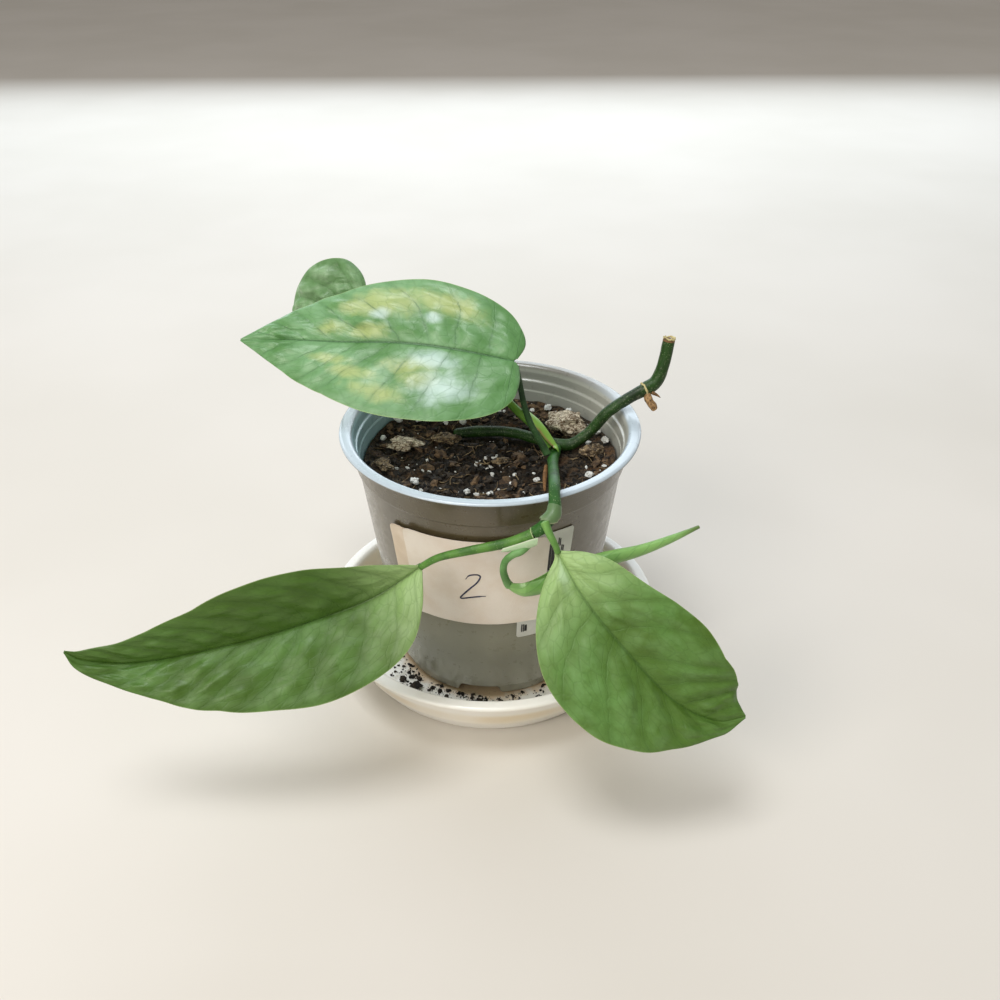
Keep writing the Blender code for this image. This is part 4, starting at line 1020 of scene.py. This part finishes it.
def dry_ring(name, centre, axis, outline, finish, node=(), sides=64, tear=0.5):
    """A ring of dried tissue round an axis, with an uneven edge."""
    turn = np.array(Vector((0, 0, 1)).rotation_difference(axis.normalized()).to_matrix())
    outline = soften(outline + [outline[0]], 0.15)[:-1]
    verts, faces = [], []
    for r, z in outline:
        for k in range(sides):
            a = 2 * math.pi * k / sides
            torn = noise.noise(Vector((math.cos(a) * 2.5, math.sin(a) * 2.5, r)))
            reach = r * (1 + 0.05 * torn)
            own = np.array((reach * math.cos(a), reach * math.sin(a), z + tear * torn))
            verts.append(turn @ own + centre)
    count = len(outline)
    for i in range(count):
        for k in range(sides):
            n, j = (k + 1) % sides, (i + 1) % count
            faces.append((i * sides + k, i * sides + n, j * sides + n, j * sides + k))
    return make_piece(name, verts, faces, finish, node, "dry_skin")


def make_rings():
    stem = [Vector(point) for point in OLD_STEM]
    dry_ring("stem_scar_ring", SCAR_AT, stem[-3] - stem[-5], SCAR_RING, PALE_RING, "old_stem_scar")
    dry_ring("stem_cut_ring", OLD_STEM[-1], stem[-1] - stem[-2], CUT_RING, PALE_RING, tear=0.7)
    dry_ring("stalk_ring", NODE_AT, Vector((-1, 0, -0.4)), NODE_RING, GREEN_RING, tear=0.12)
    verts, faces, maps = tube(THORN, ((0, 0.8), (0.6, 0.45), (1, 0.1)), per_mm=5, sides=14, wobble=0.3)
    make_piece("stem_thorn", verts, faces, CUT_WOOD, slot="dry_skin", maps={"stem": maps})


make_rings()

# %% [markdown]
# ## The potting mix
# The mix is near black, open and crumbly, with reddish bark, straw-coloured fibres and white perlite. One
# smooth surface would look like velvet. So the ground is a fine polar grid whose heights come from several
# octaves of noise, and hundreds of small crumbs, chips and fibres lie on it as real shapes.

# %% Height of the mix
SOIL_MEAN = 86.6
SOIL_EDGE_RISE = 2.6
SOIL_FRONT_DIP = 1.4
SOIL_R = 46.0
SOIL_LUMP = 0.7
GROOVE = 2.6  # how far the mix stays down beside a stem
GAP = 0.35
LYING = [(smooth_path(points, 76)[0], radius) for points, radius in
         ((OLD_STEM, 2.3), (SHOOT, 1.75), (AERIAL_ROOT, 0.7))]


def mix_height(x, y):
    """Height of the mix: fuller at the wall, lower at the front, clear under the stems."""
    x, y = np.asarray(x, float), np.asarray(y, float)
    waves = (np.sin(0.31 * x + 1.3) * np.cos(0.27 * y - 0.4) * 0.6
             + np.sin(0.55 * x - 0.43 * y + 2.1) * 0.4 + np.cos(0.83 * y + 0.2 * x) * 0.25)
    height = SOIL_MEAN + SOIL_EDGE_RISE * (np.hypot(x, y) / SOIL_R) ** 3 + SOIL_LUMP * waves
    height -= SOIL_FRONT_DIP * np.maximum(0, -y / SOIL_R) ** 2
    for path, radius in LYING:
        for px, py, pz in path:
            beside = np.maximum(0, np.hypot(px - x, py - y) - radius - GROOVE)
            height = np.minimum(height, pz - radius - GAP + beside)
    return height


def clear_of_stems(x, y):
    """Distance of a place on the mix to the nearest stem that lies on it."""
    return min(np.hypot(path[:, 0] - x, path[:, 1] - y).min() - radius for path, radius in LYING)


def rough(x, y):
    """Fine crumbliness of the mix at one place, in millimetres. It fades out beside a stem."""
    where = Vector((x, y, 0.0))
    coarse = noise.turbulence(where * 0.32, 4, True)
    fine = noise.noise(where * 1.7)
    return (1.5 * (coarse - 0.55) + 0.35 * fine) * float(soft_step(clear_of_stems(x, y), 0.2, 2.4))


# %% Mix finish and ground
def mix_finish():
    f = Finish("mix_dark", 0.9, Specular_IOR_Level=0.25)
    grain = f.cells(1.25, out="Color")
    tone = f.mix(f.spread(f.parts(grain)[0], 0.2, 0.9), srgb(26, 23, 19), srgb(78, 66, 51))
    red = f.mix(f.times(f.spread(f.noise(0.16, 4), 0.5, 0.66), 0.45), tone, srgb(112, 80, 50))
    threads = f.spread(f.noise(1.6, 4, distort=2.0), 0.66, 0.72)
    straw = f.mix(f.times(threads, 0.7), red, srgb(150, 120, 84))
    x, y, _ = f.parts(f.mm)
    # painted shade: the mix is darker towards its middle, with a ragged edge
    ragged = f.plus(f.distance(x, y), f.times(f.minus(f.noise(0.1, 4), 0.5), 40.0))
    painted_middle_shade = f.times(f.spread(ragged, 36.0, 16.0), 0.62)
    wet = f.spread(f.noise(0.2, 3), 0.4, 0.65, 0.95, 0.5)
    return f.done(f.mix(painted_middle_shade, straw, srgb(14, 12, 10)), f.bump(f.noise(2.4, 5, roughness=0.75), 0.5), wet)


def make_mix(rings=120, around=380):
    inside = POT_WALL + GAP
    top_r, bottom = wall_radius(SOIL_MEAN) - inside - 0.1, FLOOR_TOP + GAP
    angles = np.linspace(0, 2 * math.pi, around, endpoint=False)
    verts = [(0.0, 0.0, float(mix_height(0, 0)))]
    for i in range(1, rings + 1):
        r = top_r * (i / rings) ** 0.9
        xs, ys = r * np.cos(angles), r * np.sin(angles)
        calm = 1 - soft_step(r, top_r - 1.5, top_r)
        verts += [(x, y, z + calm * rough(x, y)) for x, y, z in zip(xs, ys, mix_height(xs, ys))]
    low_r = wall_radius(bottom + 2) - inside - 0.7
    for r, z in ((low_r, bottom + 1.6), (low_r - 1.6, bottom)):
        verts += [(r * c, r * s, z) for c, s in zip(np.cos(angles), np.sin(angles))]
    verts.append((0, 0, bottom))
    last, faces = len(verts) - 1, []
    foot = last - around
    for k in range(around):
        n = (k + 1) % around
        faces.append((0, 1 + k, 1 + n))
        faces += [(a + k, a + around + k, a + around + n, a + n) for a in range(1, foot, around)]
        faces.append((foot + k, last, foot + n))
    return make_piece("potting_mix", verts, faces, mix_finish(), "soil", "potting_mix")


make_mix()
print("the mix stands", round(float(mix_height(0, 0)), 1), "mm over the table in the middle")

# %% [markdown]
# ## Crumbs, bark and perlite
# Every grain starts as the same small ball. Its points are pushed in and out by noise, then it is stretched,
# turned and set down. Grains of one kind share one object, because hundreds of objects would slow everything
# down, and a grain has nothing to say on its own. The bigger lumps that the frame holds stay separate.

# %% Grains
def ball(divisions):
    bm = bmesh.new()
    bmesh.ops.create_icosphere(bm, subdivisions=divisions, radius=1.0)
    points = np.array([v.co[:] for v in bm.verts])
    faces = [tuple(v.index for v in face.verts) for face in bm.faces]
    bm.free()
    return points, faces


BALLS = {n: ball(n) for n in (1, 2, 3, 4)}


def grain(centre, half_sizes, turn, seed, divisions, dents):
    """Points and faces of one uneven grain. turn is three angles in radians."""
    points, faces = BALLS[divisions]
    push = [1 + dents * noise.noise(Vector(p) * 1.3 + Vector((seed, 0, 0)))
            + 0.5 * dents * noise.noise(Vector(p) * 3.1 + Vector((0, seed, 0))) for p in points]
    matrix = np.array((Matrix.Rotation(turn[2], 3, "Z") @ Matrix.Rotation(turn[1], 3, "Y")
                       @ Matrix.Rotation(turn[0], 3, "X")))
    return (points * np.array(push)[:, None] * half_sizes) @ matrix.T + centre, faces


def gather(parts):
    """Joins the points and faces of many small bodies."""
    verts, faces, at = [], [], 0
    for points, own in parts:
        verts.append(points)
        faces += [tuple(i + at for i in face) for face in own]
        at += len(points)
    return np.concatenate(verts), faces


# %% Grain finishes
def perlite_finish():
    f = Finish("perlite", 0.85)
    pits = f.cells(2.6)
    soiled = f.times(f.spread(f.noise(1.1, 4), 0.52, 0.68), 0.35)
    dust = f.mix(soiled, srgb(240, 242, 238), srgb(176, 160, 132))
    return f.done(dust, f.bump(f.plus(pits, f.noise(2.0, 4)), 0.3))


def bark_finish(name, light, dark, fleck_share):
    f = Finish(name, 0.88)
    layers = f.add("ShaderNodeMapping",
                   {"Vector": f.mm, "Scale": (0.35, 1.0, 1.6), "Rotation": (0.3, 0.2, 0.5)})
    strands = f.noise(0.9, 7, layers, roughness=0.72, distort=1.2)
    tone = f.mix(f.spread(strands, 0.4, 0.62), dark, light)
    spots = f.mix(f.spread(f.noise(0.55, 5, roughness=0.7), 0.5, 0.62), tone, dark)
    fleck = f.times(f.spread(f.cells(0.9), 0.22, 0.1), fleck_share)
    flecks = f.mix(fleck, spots, srgb(232, 226, 206))
    return f.done(flecks, f.bump(f.plus(strands, f.noise(1.3, 5)), 0.5))


def chip_finish(name, light, dark):
    f = Finish(name, 0.9)
    tone = f.mix(f.spread(f.noise(0.35, 3), 0.38, 0.62), light, dark)
    return f.done(f.mix(f.spread(f.noise(2.2, 4), 0.45, 0.7), tone, dark), f.bump(f.noise(2.0, 4), 0.3))


PERLITE = perlite_finish()
BARK_PALE = bark_finish("bark_pale", srgb(242, 230, 204), srgb(104, 84, 60), 1.0)
BARK_DULL = bark_finish("bark_dull", srgb(160, 138, 104), srgb(58, 45, 32), 0.5)
DARK_CRUMB = chip_finish("crumb_dark", srgb(62, 52, 40), srgb(22, 19, 16))
RED_CHIP = chip_finish("chip_brown", srgb(122, 98, 70), srgb(60, 45, 31))
STRAW = chip_finish("fibre_straw", srgb(168, 148, 112), srgb(96, 76, 52))

# %% Lumps that the frame holds
GRAIN_R = (1.7, 1.3, 1.4, 1.1, 1.2, 1.5, 1.2, 1.1, 1.5, 1.0, 1.4, 1.4, 1.4, 1.4)
LUMPS = ((14, 13, 7.5, 20), (12, 8, 3.6, 10), (9, 6, 3.2, -15),
         (9, 6, 3.0, 35), (9, 5, 2.6, -60), (6, 4, 1.8, 15))  # length, width, height, turn in degrees
BIG_LUMPS = (0, 1)  # the two biggest are dry and pale


def node_middle(node):
    """Middle of a frame node, in millimetres."""
    low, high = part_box(node)
    return (np.array(low) + np.array(high)) / 2 / MM


def make_lumps():
    for i, r in enumerate(GRAIN_R):
        node = f"perlite_{i + 1:02d}"
        verts, faces = grain(node_middle(node), (r, 0.9 * r, 0.8 * r), (0, 0, 0.5 * i), i * 3.1, 3, 0.5)
        make_piece(f"perlite_grain_{i + 1:02d}", verts, faces, PERLITE, node, "perlite_white", sharp=35)
    for i, (*size, turn) in enumerate(LUMPS):
        half = np.array(size) / 2
        turns = (0, 0, math.radians(turn))
        verts, faces = grain(node_middle(f"bark_{i + 1}"), half, turns, i * 2.3, 4, 0.55)
        look = BARK_PALE if i in BIG_LUMPS else BARK_DULL
        make_piece(f"bark_lump_{i + 1}", verts, faces, look, f"bark_{i + 1}", "bark_brown", sharp=30)


make_lumps()

# %% Loose crumbs, chips, fibres and small perlite on the mix
rng = np.random.default_rng(11)
PERLITE_PATCH = (0.5, -3.0)  # where small perlite lies close together


def places(count, r_most, keep_clear=1.2, centre=(0.0, 0.0)):
    """Random places on the mix round a centre, clear of the stems that lie on it."""
    found = []
    while len(found) < count:
        r, a = r_most * math.sqrt(rng.random()), 2 * math.pi * rng.random()
        x, y = centre[0] + r * math.cos(a), centre[1] + r * math.sin(a)
        if clear_of_stems(x, y) > keep_clear:
            found.append((x, y))
    return found


def strew(count, low, high, flat, dents, sink, r_most=45.4, divisions=2, centre=(0.0, 0.0)):
    """Many grains with sizes between low and high, a little sunk into the mix."""
    spots = places(count, r_most, high, centre)
    heights = mix_height(*zip(*spots))
    parts = []
    for (x, y), z in zip(spots, heights):
        size = low + (high - low) * rng.random() ** 2.2
        half = size * np.array((1.0, rng.uniform(0.55, 0.9), flat * rng.uniform(0.6, 1.0)))
        turn = (rng.uniform(-0.5, 0.5), rng.uniform(-0.5, 0.5), rng.uniform(0, 6.3))
        middle = (x, y, z + rough(x, y) + half[2] * (1 - sink))
        parts.append(grain(middle, half, turn, rng.uniform(0, 90), divisions, dents))
    return gather(parts)


def strew_fibres(count):
    """Short bent fibres lying on the mix."""
    parts = []
    for x, y in places(count, 44.0):
        a, length = rng.uniform(0, 6.3), rng.uniform(2.5, 9.0)
        bend = rng.uniform(-1.2, 1.2)
        points = []
        for t in (-0.5, -0.15, 0.2, 0.5):
            px = x + length * t * math.cos(a) - bend * t * t * 4 * math.sin(a)
            py = y + length * t * math.sin(a) + bend * t * t * 4 * math.cos(a)
            scale = min(1.0, 44.8 / math.hypot(px, py))
            px, py = px * scale, py * scale
            points.append((px, py, float(mix_height(px, py)) + rough(px, py) + 0.35 + rng.uniform(0, 0.5)))
        verts, faces, _ = tube(points, ((0, 0.12), (0.5, 0.18), (1, 0.08)), sides=6, blunt=(0, 0), per_mm=1.5)
        parts.append((verts, faces))
    return gather(parts)


make_piece("mix_crumbs", *strew(900, 0.35, 1.7, 0.7, 0.9, 0.35), DARK_CRUMB, slot="crumb_dark", sharp=30)
make_piece("mix_chips", *strew(210, 0.6, 2.9, 0.4, 0.8, 0.2), RED_CHIP, slot="bark_brown", sharp=30)
make_piece("mix_perlite", *strew(120, 0.3, 1.0, 0.8, 0.6, 0.3), PERLITE, slot="perlite_white", sharp=30)
patch = strew(26, 0.35, 0.95, 0.8, 0.6, 0.3, r_most=6.5, centre=PERLITE_PATCH)
make_piece("mix_perlite_patch", *patch, PERLITE, slot="perlite_white", sharp=30)
make_piece("mix_fibres", *strew_fibres(150), STRAW, slot="dry_skin")

# %% [markdown]
# ## Mix that fell into the saucer
# A scatter of black crumbs lies on the saucer's floor, most of it in front of the pot and to its left.

# %% Crumbs in the saucer
FALLEN_R = (2.0, 1.4, 1.2, 1.1)
FALLEN_BITS = 620
MOST_FALL_AT, FALL_SPREAD = -112, 38  # degrees round the axis


def make_fallen():
    for i, r in enumerate(FALLEN_R):
        node = f"crumb_{i + 1}"
        verts, faces = grain(node_middle(node), (r, 0.85 * r, 0.6 * r), (0, 0, 0.7 * i), 40 + i, 3, 0.7)
        make_piece(f"fallen_{node}", verts, faces, DARK_CRUMB, node, "crumb_dark", sharp=30)
    parts = []
    while len(parts) < FALLEN_BITS:
        r, a = rng.uniform(37.4, 50.0), math.radians(rng.normal(MOST_FALL_AT, FALL_SPREAD))
        if rng.random() < (r - 38) / 16:
            continue
        size = 0.16 + 0.9 * rng.random() ** 4
        half = size * np.array((1.0, rng.uniform(0.5, 0.9), rng.uniform(0.35, 0.7)))
        x, y = r * math.cos(a), r * math.sin(a)
        middle = (x, y, SAUCER_FLOOR + float(rib_height(x, y)) + half[2])
        parts.append(grain(middle, half, (0, 0, rng.uniform(0, 6.3)), rng.uniform(0, 90), 2, 0.9))
    make_piece("fallen_bits", *gather(parts), DARK_CRUMB, slot="crumb_dark", sharp=30)


make_fallen()

# %% [markdown]
# ## Paper on the pot
# Two layers of plain paper are stuck over an older sticker. Paper on a cone lies close but never quite
# flat, so the sheet gets a slight waviness and its corners lift. A pen has written one digit on it. The
# stroke is a narrow ribbon a hair above the paper, which follows the same curve as the wall.

# %% Paper sizes and finishes
# first and last angle round the wall, lowest and highest edge, lift off the wall
STICKER = (-78.0, -54.0, 36.0, 84.3, 0.35)
LABEL_LOW = (-136.5, -96.0, 44.6, 83.0, 0.85)
LABEL_TOP = (-128.0, -66.0, 44.9, 84.3, 1.4)
PAPER_T = 0.2


def paper_finish(name, colour, shade, fleck=0.12):
    f = Finish(name, 0.85, Specular_IOR_Level=0.3)
    tone = f.mix(f.spread(f.noise(0.08, 4), 0.35, 0.7), colour, shade)
    specks = f.spread(f.noise(3.5, 4, roughness=0.8), 0.55, 0.7)
    pulp = f.mix(f.times(specks, fleck), tone, srgb(150, 130, 110))
    return f.done(pulp, f.bump(f.noise(1.2, 5), 0.05))


PAPER = paper_finish("paper_warm", srgb(238, 228, 218), srgb(230, 216, 202))
PAPER_UNDER = paper_finish("paper_under", srgb(230, 214, 198), srgb(214, 196, 176))
FILM = paper_finish("sticker_grey", srgb(224, 224, 218), srgb(208, 208, 202), 0.06)


def ink_finish(name, colour, thin, roughness):
    f = Finish(name, roughness)
    return f.done(f.mix(f.spread(f.noise(0.9, 4), 0.4, 0.7), colour, thin), f.bump(f.noise(3.0, 2), 0.01))


INK = ink_finish("ink_blue_black", srgb(30, 34, 62), srgb(58, 62, 96), 0.45)
BAR_INK = ink_finish("ink_black", srgb(30, 30, 30), srgb(52, 52, 52), 0.55)


def on_wall(angle, z, lift):
    """Point on the pot's wall at an angle in degrees and a height, lifted off it."""
    r = wall_radius(z) + lift
    return np.array((r * math.cos(math.radians(angle)), r * math.sin(math.radians(angle)), z))


def make_label(name, spec, finish, node, slot, corner, curl=0.0, rows=60, cols=90):
    first, last, low, high, lift = spec
    grid = np.zeros((rows, cols, 3))
    for i, v in enumerate(np.linspace(0, 1, rows)):
        z = low + (high - low) * v
        from_end = min(v, 1 - v) * (high - low)
        cut = corner - math.sqrt(max(0, corner ** 2 - max(0, corner - from_end) ** 2))
        inset = math.degrees(cut / wall_radius(z))
        for j, u in enumerate(np.linspace(0, 1, cols)):
            wave = 0.10 * noise.noise(Vector((u * 5, v * 4, lift * 7)))
            lifted = curl * max(0.0, abs(2 * u - 1) - 0.86) / 0.14 * max(0.0, abs(2 * v - 1) - 0.5) / 0.5
            grid[i, j] = on_wall(first + inset + (last - first - 2 * inset) * u, z, lift + wave + lifted)
    thick = surface_out(grid) * PAPER_T / 2
    verts, faces, _ = closed_sheet(grid + thick, grid - thick)
    return make_piece(name, verts, faces, finish, node, slot, sharp=60)


make_label("old_sticker", STICKER, FILM, "sticker", "sticker_film", 0.6)
make_label("paper_under", LABEL_LOW, PAPER_UNDER, "paper_label_under", "paper", 3.0, curl=0.25)
make_label("paper_top", LABEL_TOP, PAPER, "paper_label", "paper", 2.5, curl=0.25)

# %% Ink
PEN_HALF_W, PEN_LIFT = 0.28, 0.22
BAR_HALF_W, BAR_LIFT = 0.22, 0.2
# angle round the wall and height
DIGIT = ((-100.9, 66.9), (-99.6, 68.6), (-97.8, 69.3), (-95.6, 69.4), (-94.7, 68.4), (-96.2, 65.6),
         (-99.4, 62.4), (-102.4, 59.3), (-103.7, 57.6), (-102.6, 57.4), (-99.0, 58.3), (-95.0, 59.0),
         (-92.5, 59.2))
# angle, lowest and highest end
BARS = ((-65.3, 66, 80), (-64.8, 67, 80), (-64.4, 66, 79), (-63.7, 67, 80), (-63.2, 68, 80), (-62.6, 66, 79),
        (-61.0, 77.5, 81), (-60.2, 77.0, 80.6), (-59.2, 74.6, 77.4), (-58.4, 74.2, 77.0),
        (-75.5, 38.5, 42.5), (-74.6, 38.5, 42.5), (-73.8, 38.7, 42.0), (-73.2, 38.7, 42.0))


def ribbon(points, half_width):
    """A thin flat stroke along points on the wall."""
    path, way, _ = smooth_path(points, max(10, 8 * len(points)))
    out = path * (1, 1, 0)
    out /= np.linalg.norm(out, axis=1, keepdims=True)
    side = np.cross(way, out) * half_width
    share = np.linspace(0, 1, len(path))[:, None]
    taper = np.clip(np.minimum(share, 1 - share) * 12, 0.45, 1)
    grid = np.stack([path + side * taper * t for t in (-1, -0.4, 0.4, 1)], 1)
    thick = surface_out(grid) * 0.03
    return closed_sheet(grid + thick, grid - thick)[:2]


def stroke(places_on_wall, lift, half_width):
    """A stroke of ink through places on the wall, lifted off it."""
    return ribbon([on_wall(a, z, lift) for a, z in places_on_wall], half_width)


bars = [stroke([(a, z) for z in np.linspace(low, high, 4)], STICKER[-1] + BAR_LIFT, BAR_HALF_W)
        for a, low, high in BARS]
make_piece("pen_digit", *stroke(DIGIT, LABEL_TOP[-1] + PEN_LIFT, PEN_HALF_W), INK, slot="paper")
make_piece("sticker_bars", *gather(bars), BAR_INK, slot="sticker_film")

# %% [markdown]
# ## Floor, light and camera
# The plant stands on a pale, plain floor. One broad cool lamp hangs overhead. A second stands wide behind
# the plant, and is what the flat rims mirror. A third, warmer, fills in from the front left, and a faint
# even light softens the shadows. The camera looks down by about a third of a right angle, from nearly
# twice the plant's height.

# %% Floor
def floor_finish():
    f = Finish("floor_pale", 0.75)
    return f.done(f.mix(f.spread(f.noise(0.004, 3), 0.3, 0.7), srgb(226, 220, 212), srgb(220, 214, 205)))


FLOOR_HALF = 5000.0


def make_floor():
    verts = [(x * FLOOR_HALF, y * FLOOR_HALF, 0) for x, y in ((-1, -1), (1, -1), (1, 1), (-1, 1))]
    mesh = bpy.data.meshes.new("floor")
    mesh.from_pydata([Vector(v) * MM for v in verts], [], [(0, 1, 2, 3)])
    mesh.materials.append(floor_finish())
    floor = bpy.data.objects.new("floor", mesh)
    bpy.context.scene.collection.objects.link(floor)


make_floor()

# %% Lights
def lamp(name, place, aim, size, watts, colour):
    light = bpy.data.lights.new(name, "AREA")
    light.shape, light.size, light.size_y = "RECTANGLE", *[side * MM for side in size]
    light.energy, light.color = watts, colour
    print(f"{name}: {watts} W, {math.dist(place, aim):.0f} mm from its aim")
    holder = bpy.data.objects.new(name, light)
    holder.location = Vector(place) * MM
    holder.rotation_euler = (Vector(aim) - Vector(place)).to_track_quat("-Z", "Y").to_euler()
    bpy.context.scene.collection.objects.link(holder)


lamp("lamp_overhead", (-220, -180, 1150), (0, 0, 90), (460, 420), 6.0, (0.95, 0.98, 1.0))
lamp("lamp_far_side", (0, 1050, 520), (0, 0, 100), (1700, 760), 10.5, (0.80, 0.91, 1.0))
lamp("lamp_front_left", (-650, -800, 750), (0, 0, 60), (600, 600), 7.2, (1.0, 0.95, 0.88))
world = bpy.data.worlds.new("soft_room")
world.use_nodes = True
backdrop = world.node_tree.nodes["Background"].inputs
backdrop["Color"].default_value = (1.0, 0.96, 0.90, 1.0)
backdrop["Strength"].default_value = 0.33
bpy.context.scene.world = world

# %% Camera
PICTURE_W, FOCAL_PX, SENSOR = 1000, 1003.13, 36.0
EYE = (0.0, -323.59, 279.04)
PITCH, YAW, ROLL = math.radians(32.962), math.radians(0.6225), math.radians(-0.173)


def make_camera():
    ahead = Vector((math.sin(YAW) * math.cos(PITCH), math.cos(YAW) * math.cos(PITCH), -math.sin(PITCH)))
    right = Vector((math.cos(YAW), -math.sin(YAW), 0))
    up = right.cross(ahead)
    right, up = (right * math.cos(ROLL) + up * math.sin(ROLL), up * math.cos(ROLL) - right * math.sin(ROLL))
    data = bpy.data.cameras.new("camera")
    data.sensor_width, data.lens = SENSOR, SENSOR * FOCAL_PX / PICTURE_W
    data.clip_start = 0.01
    camera = bpy.data.objects.new("camera", data)
    turned_to = Matrix((right, up, -ahead)).transposed().to_4x4()
    camera.matrix_world = Matrix.Translation(Vector(EYE) * MM) @ turned_to
    bpy.context.scene.collection.objects.link(camera)
    bpy.context.scene.camera = camera


make_camera()
bpy.context.scene.view_settings.view_transform = "Standard"
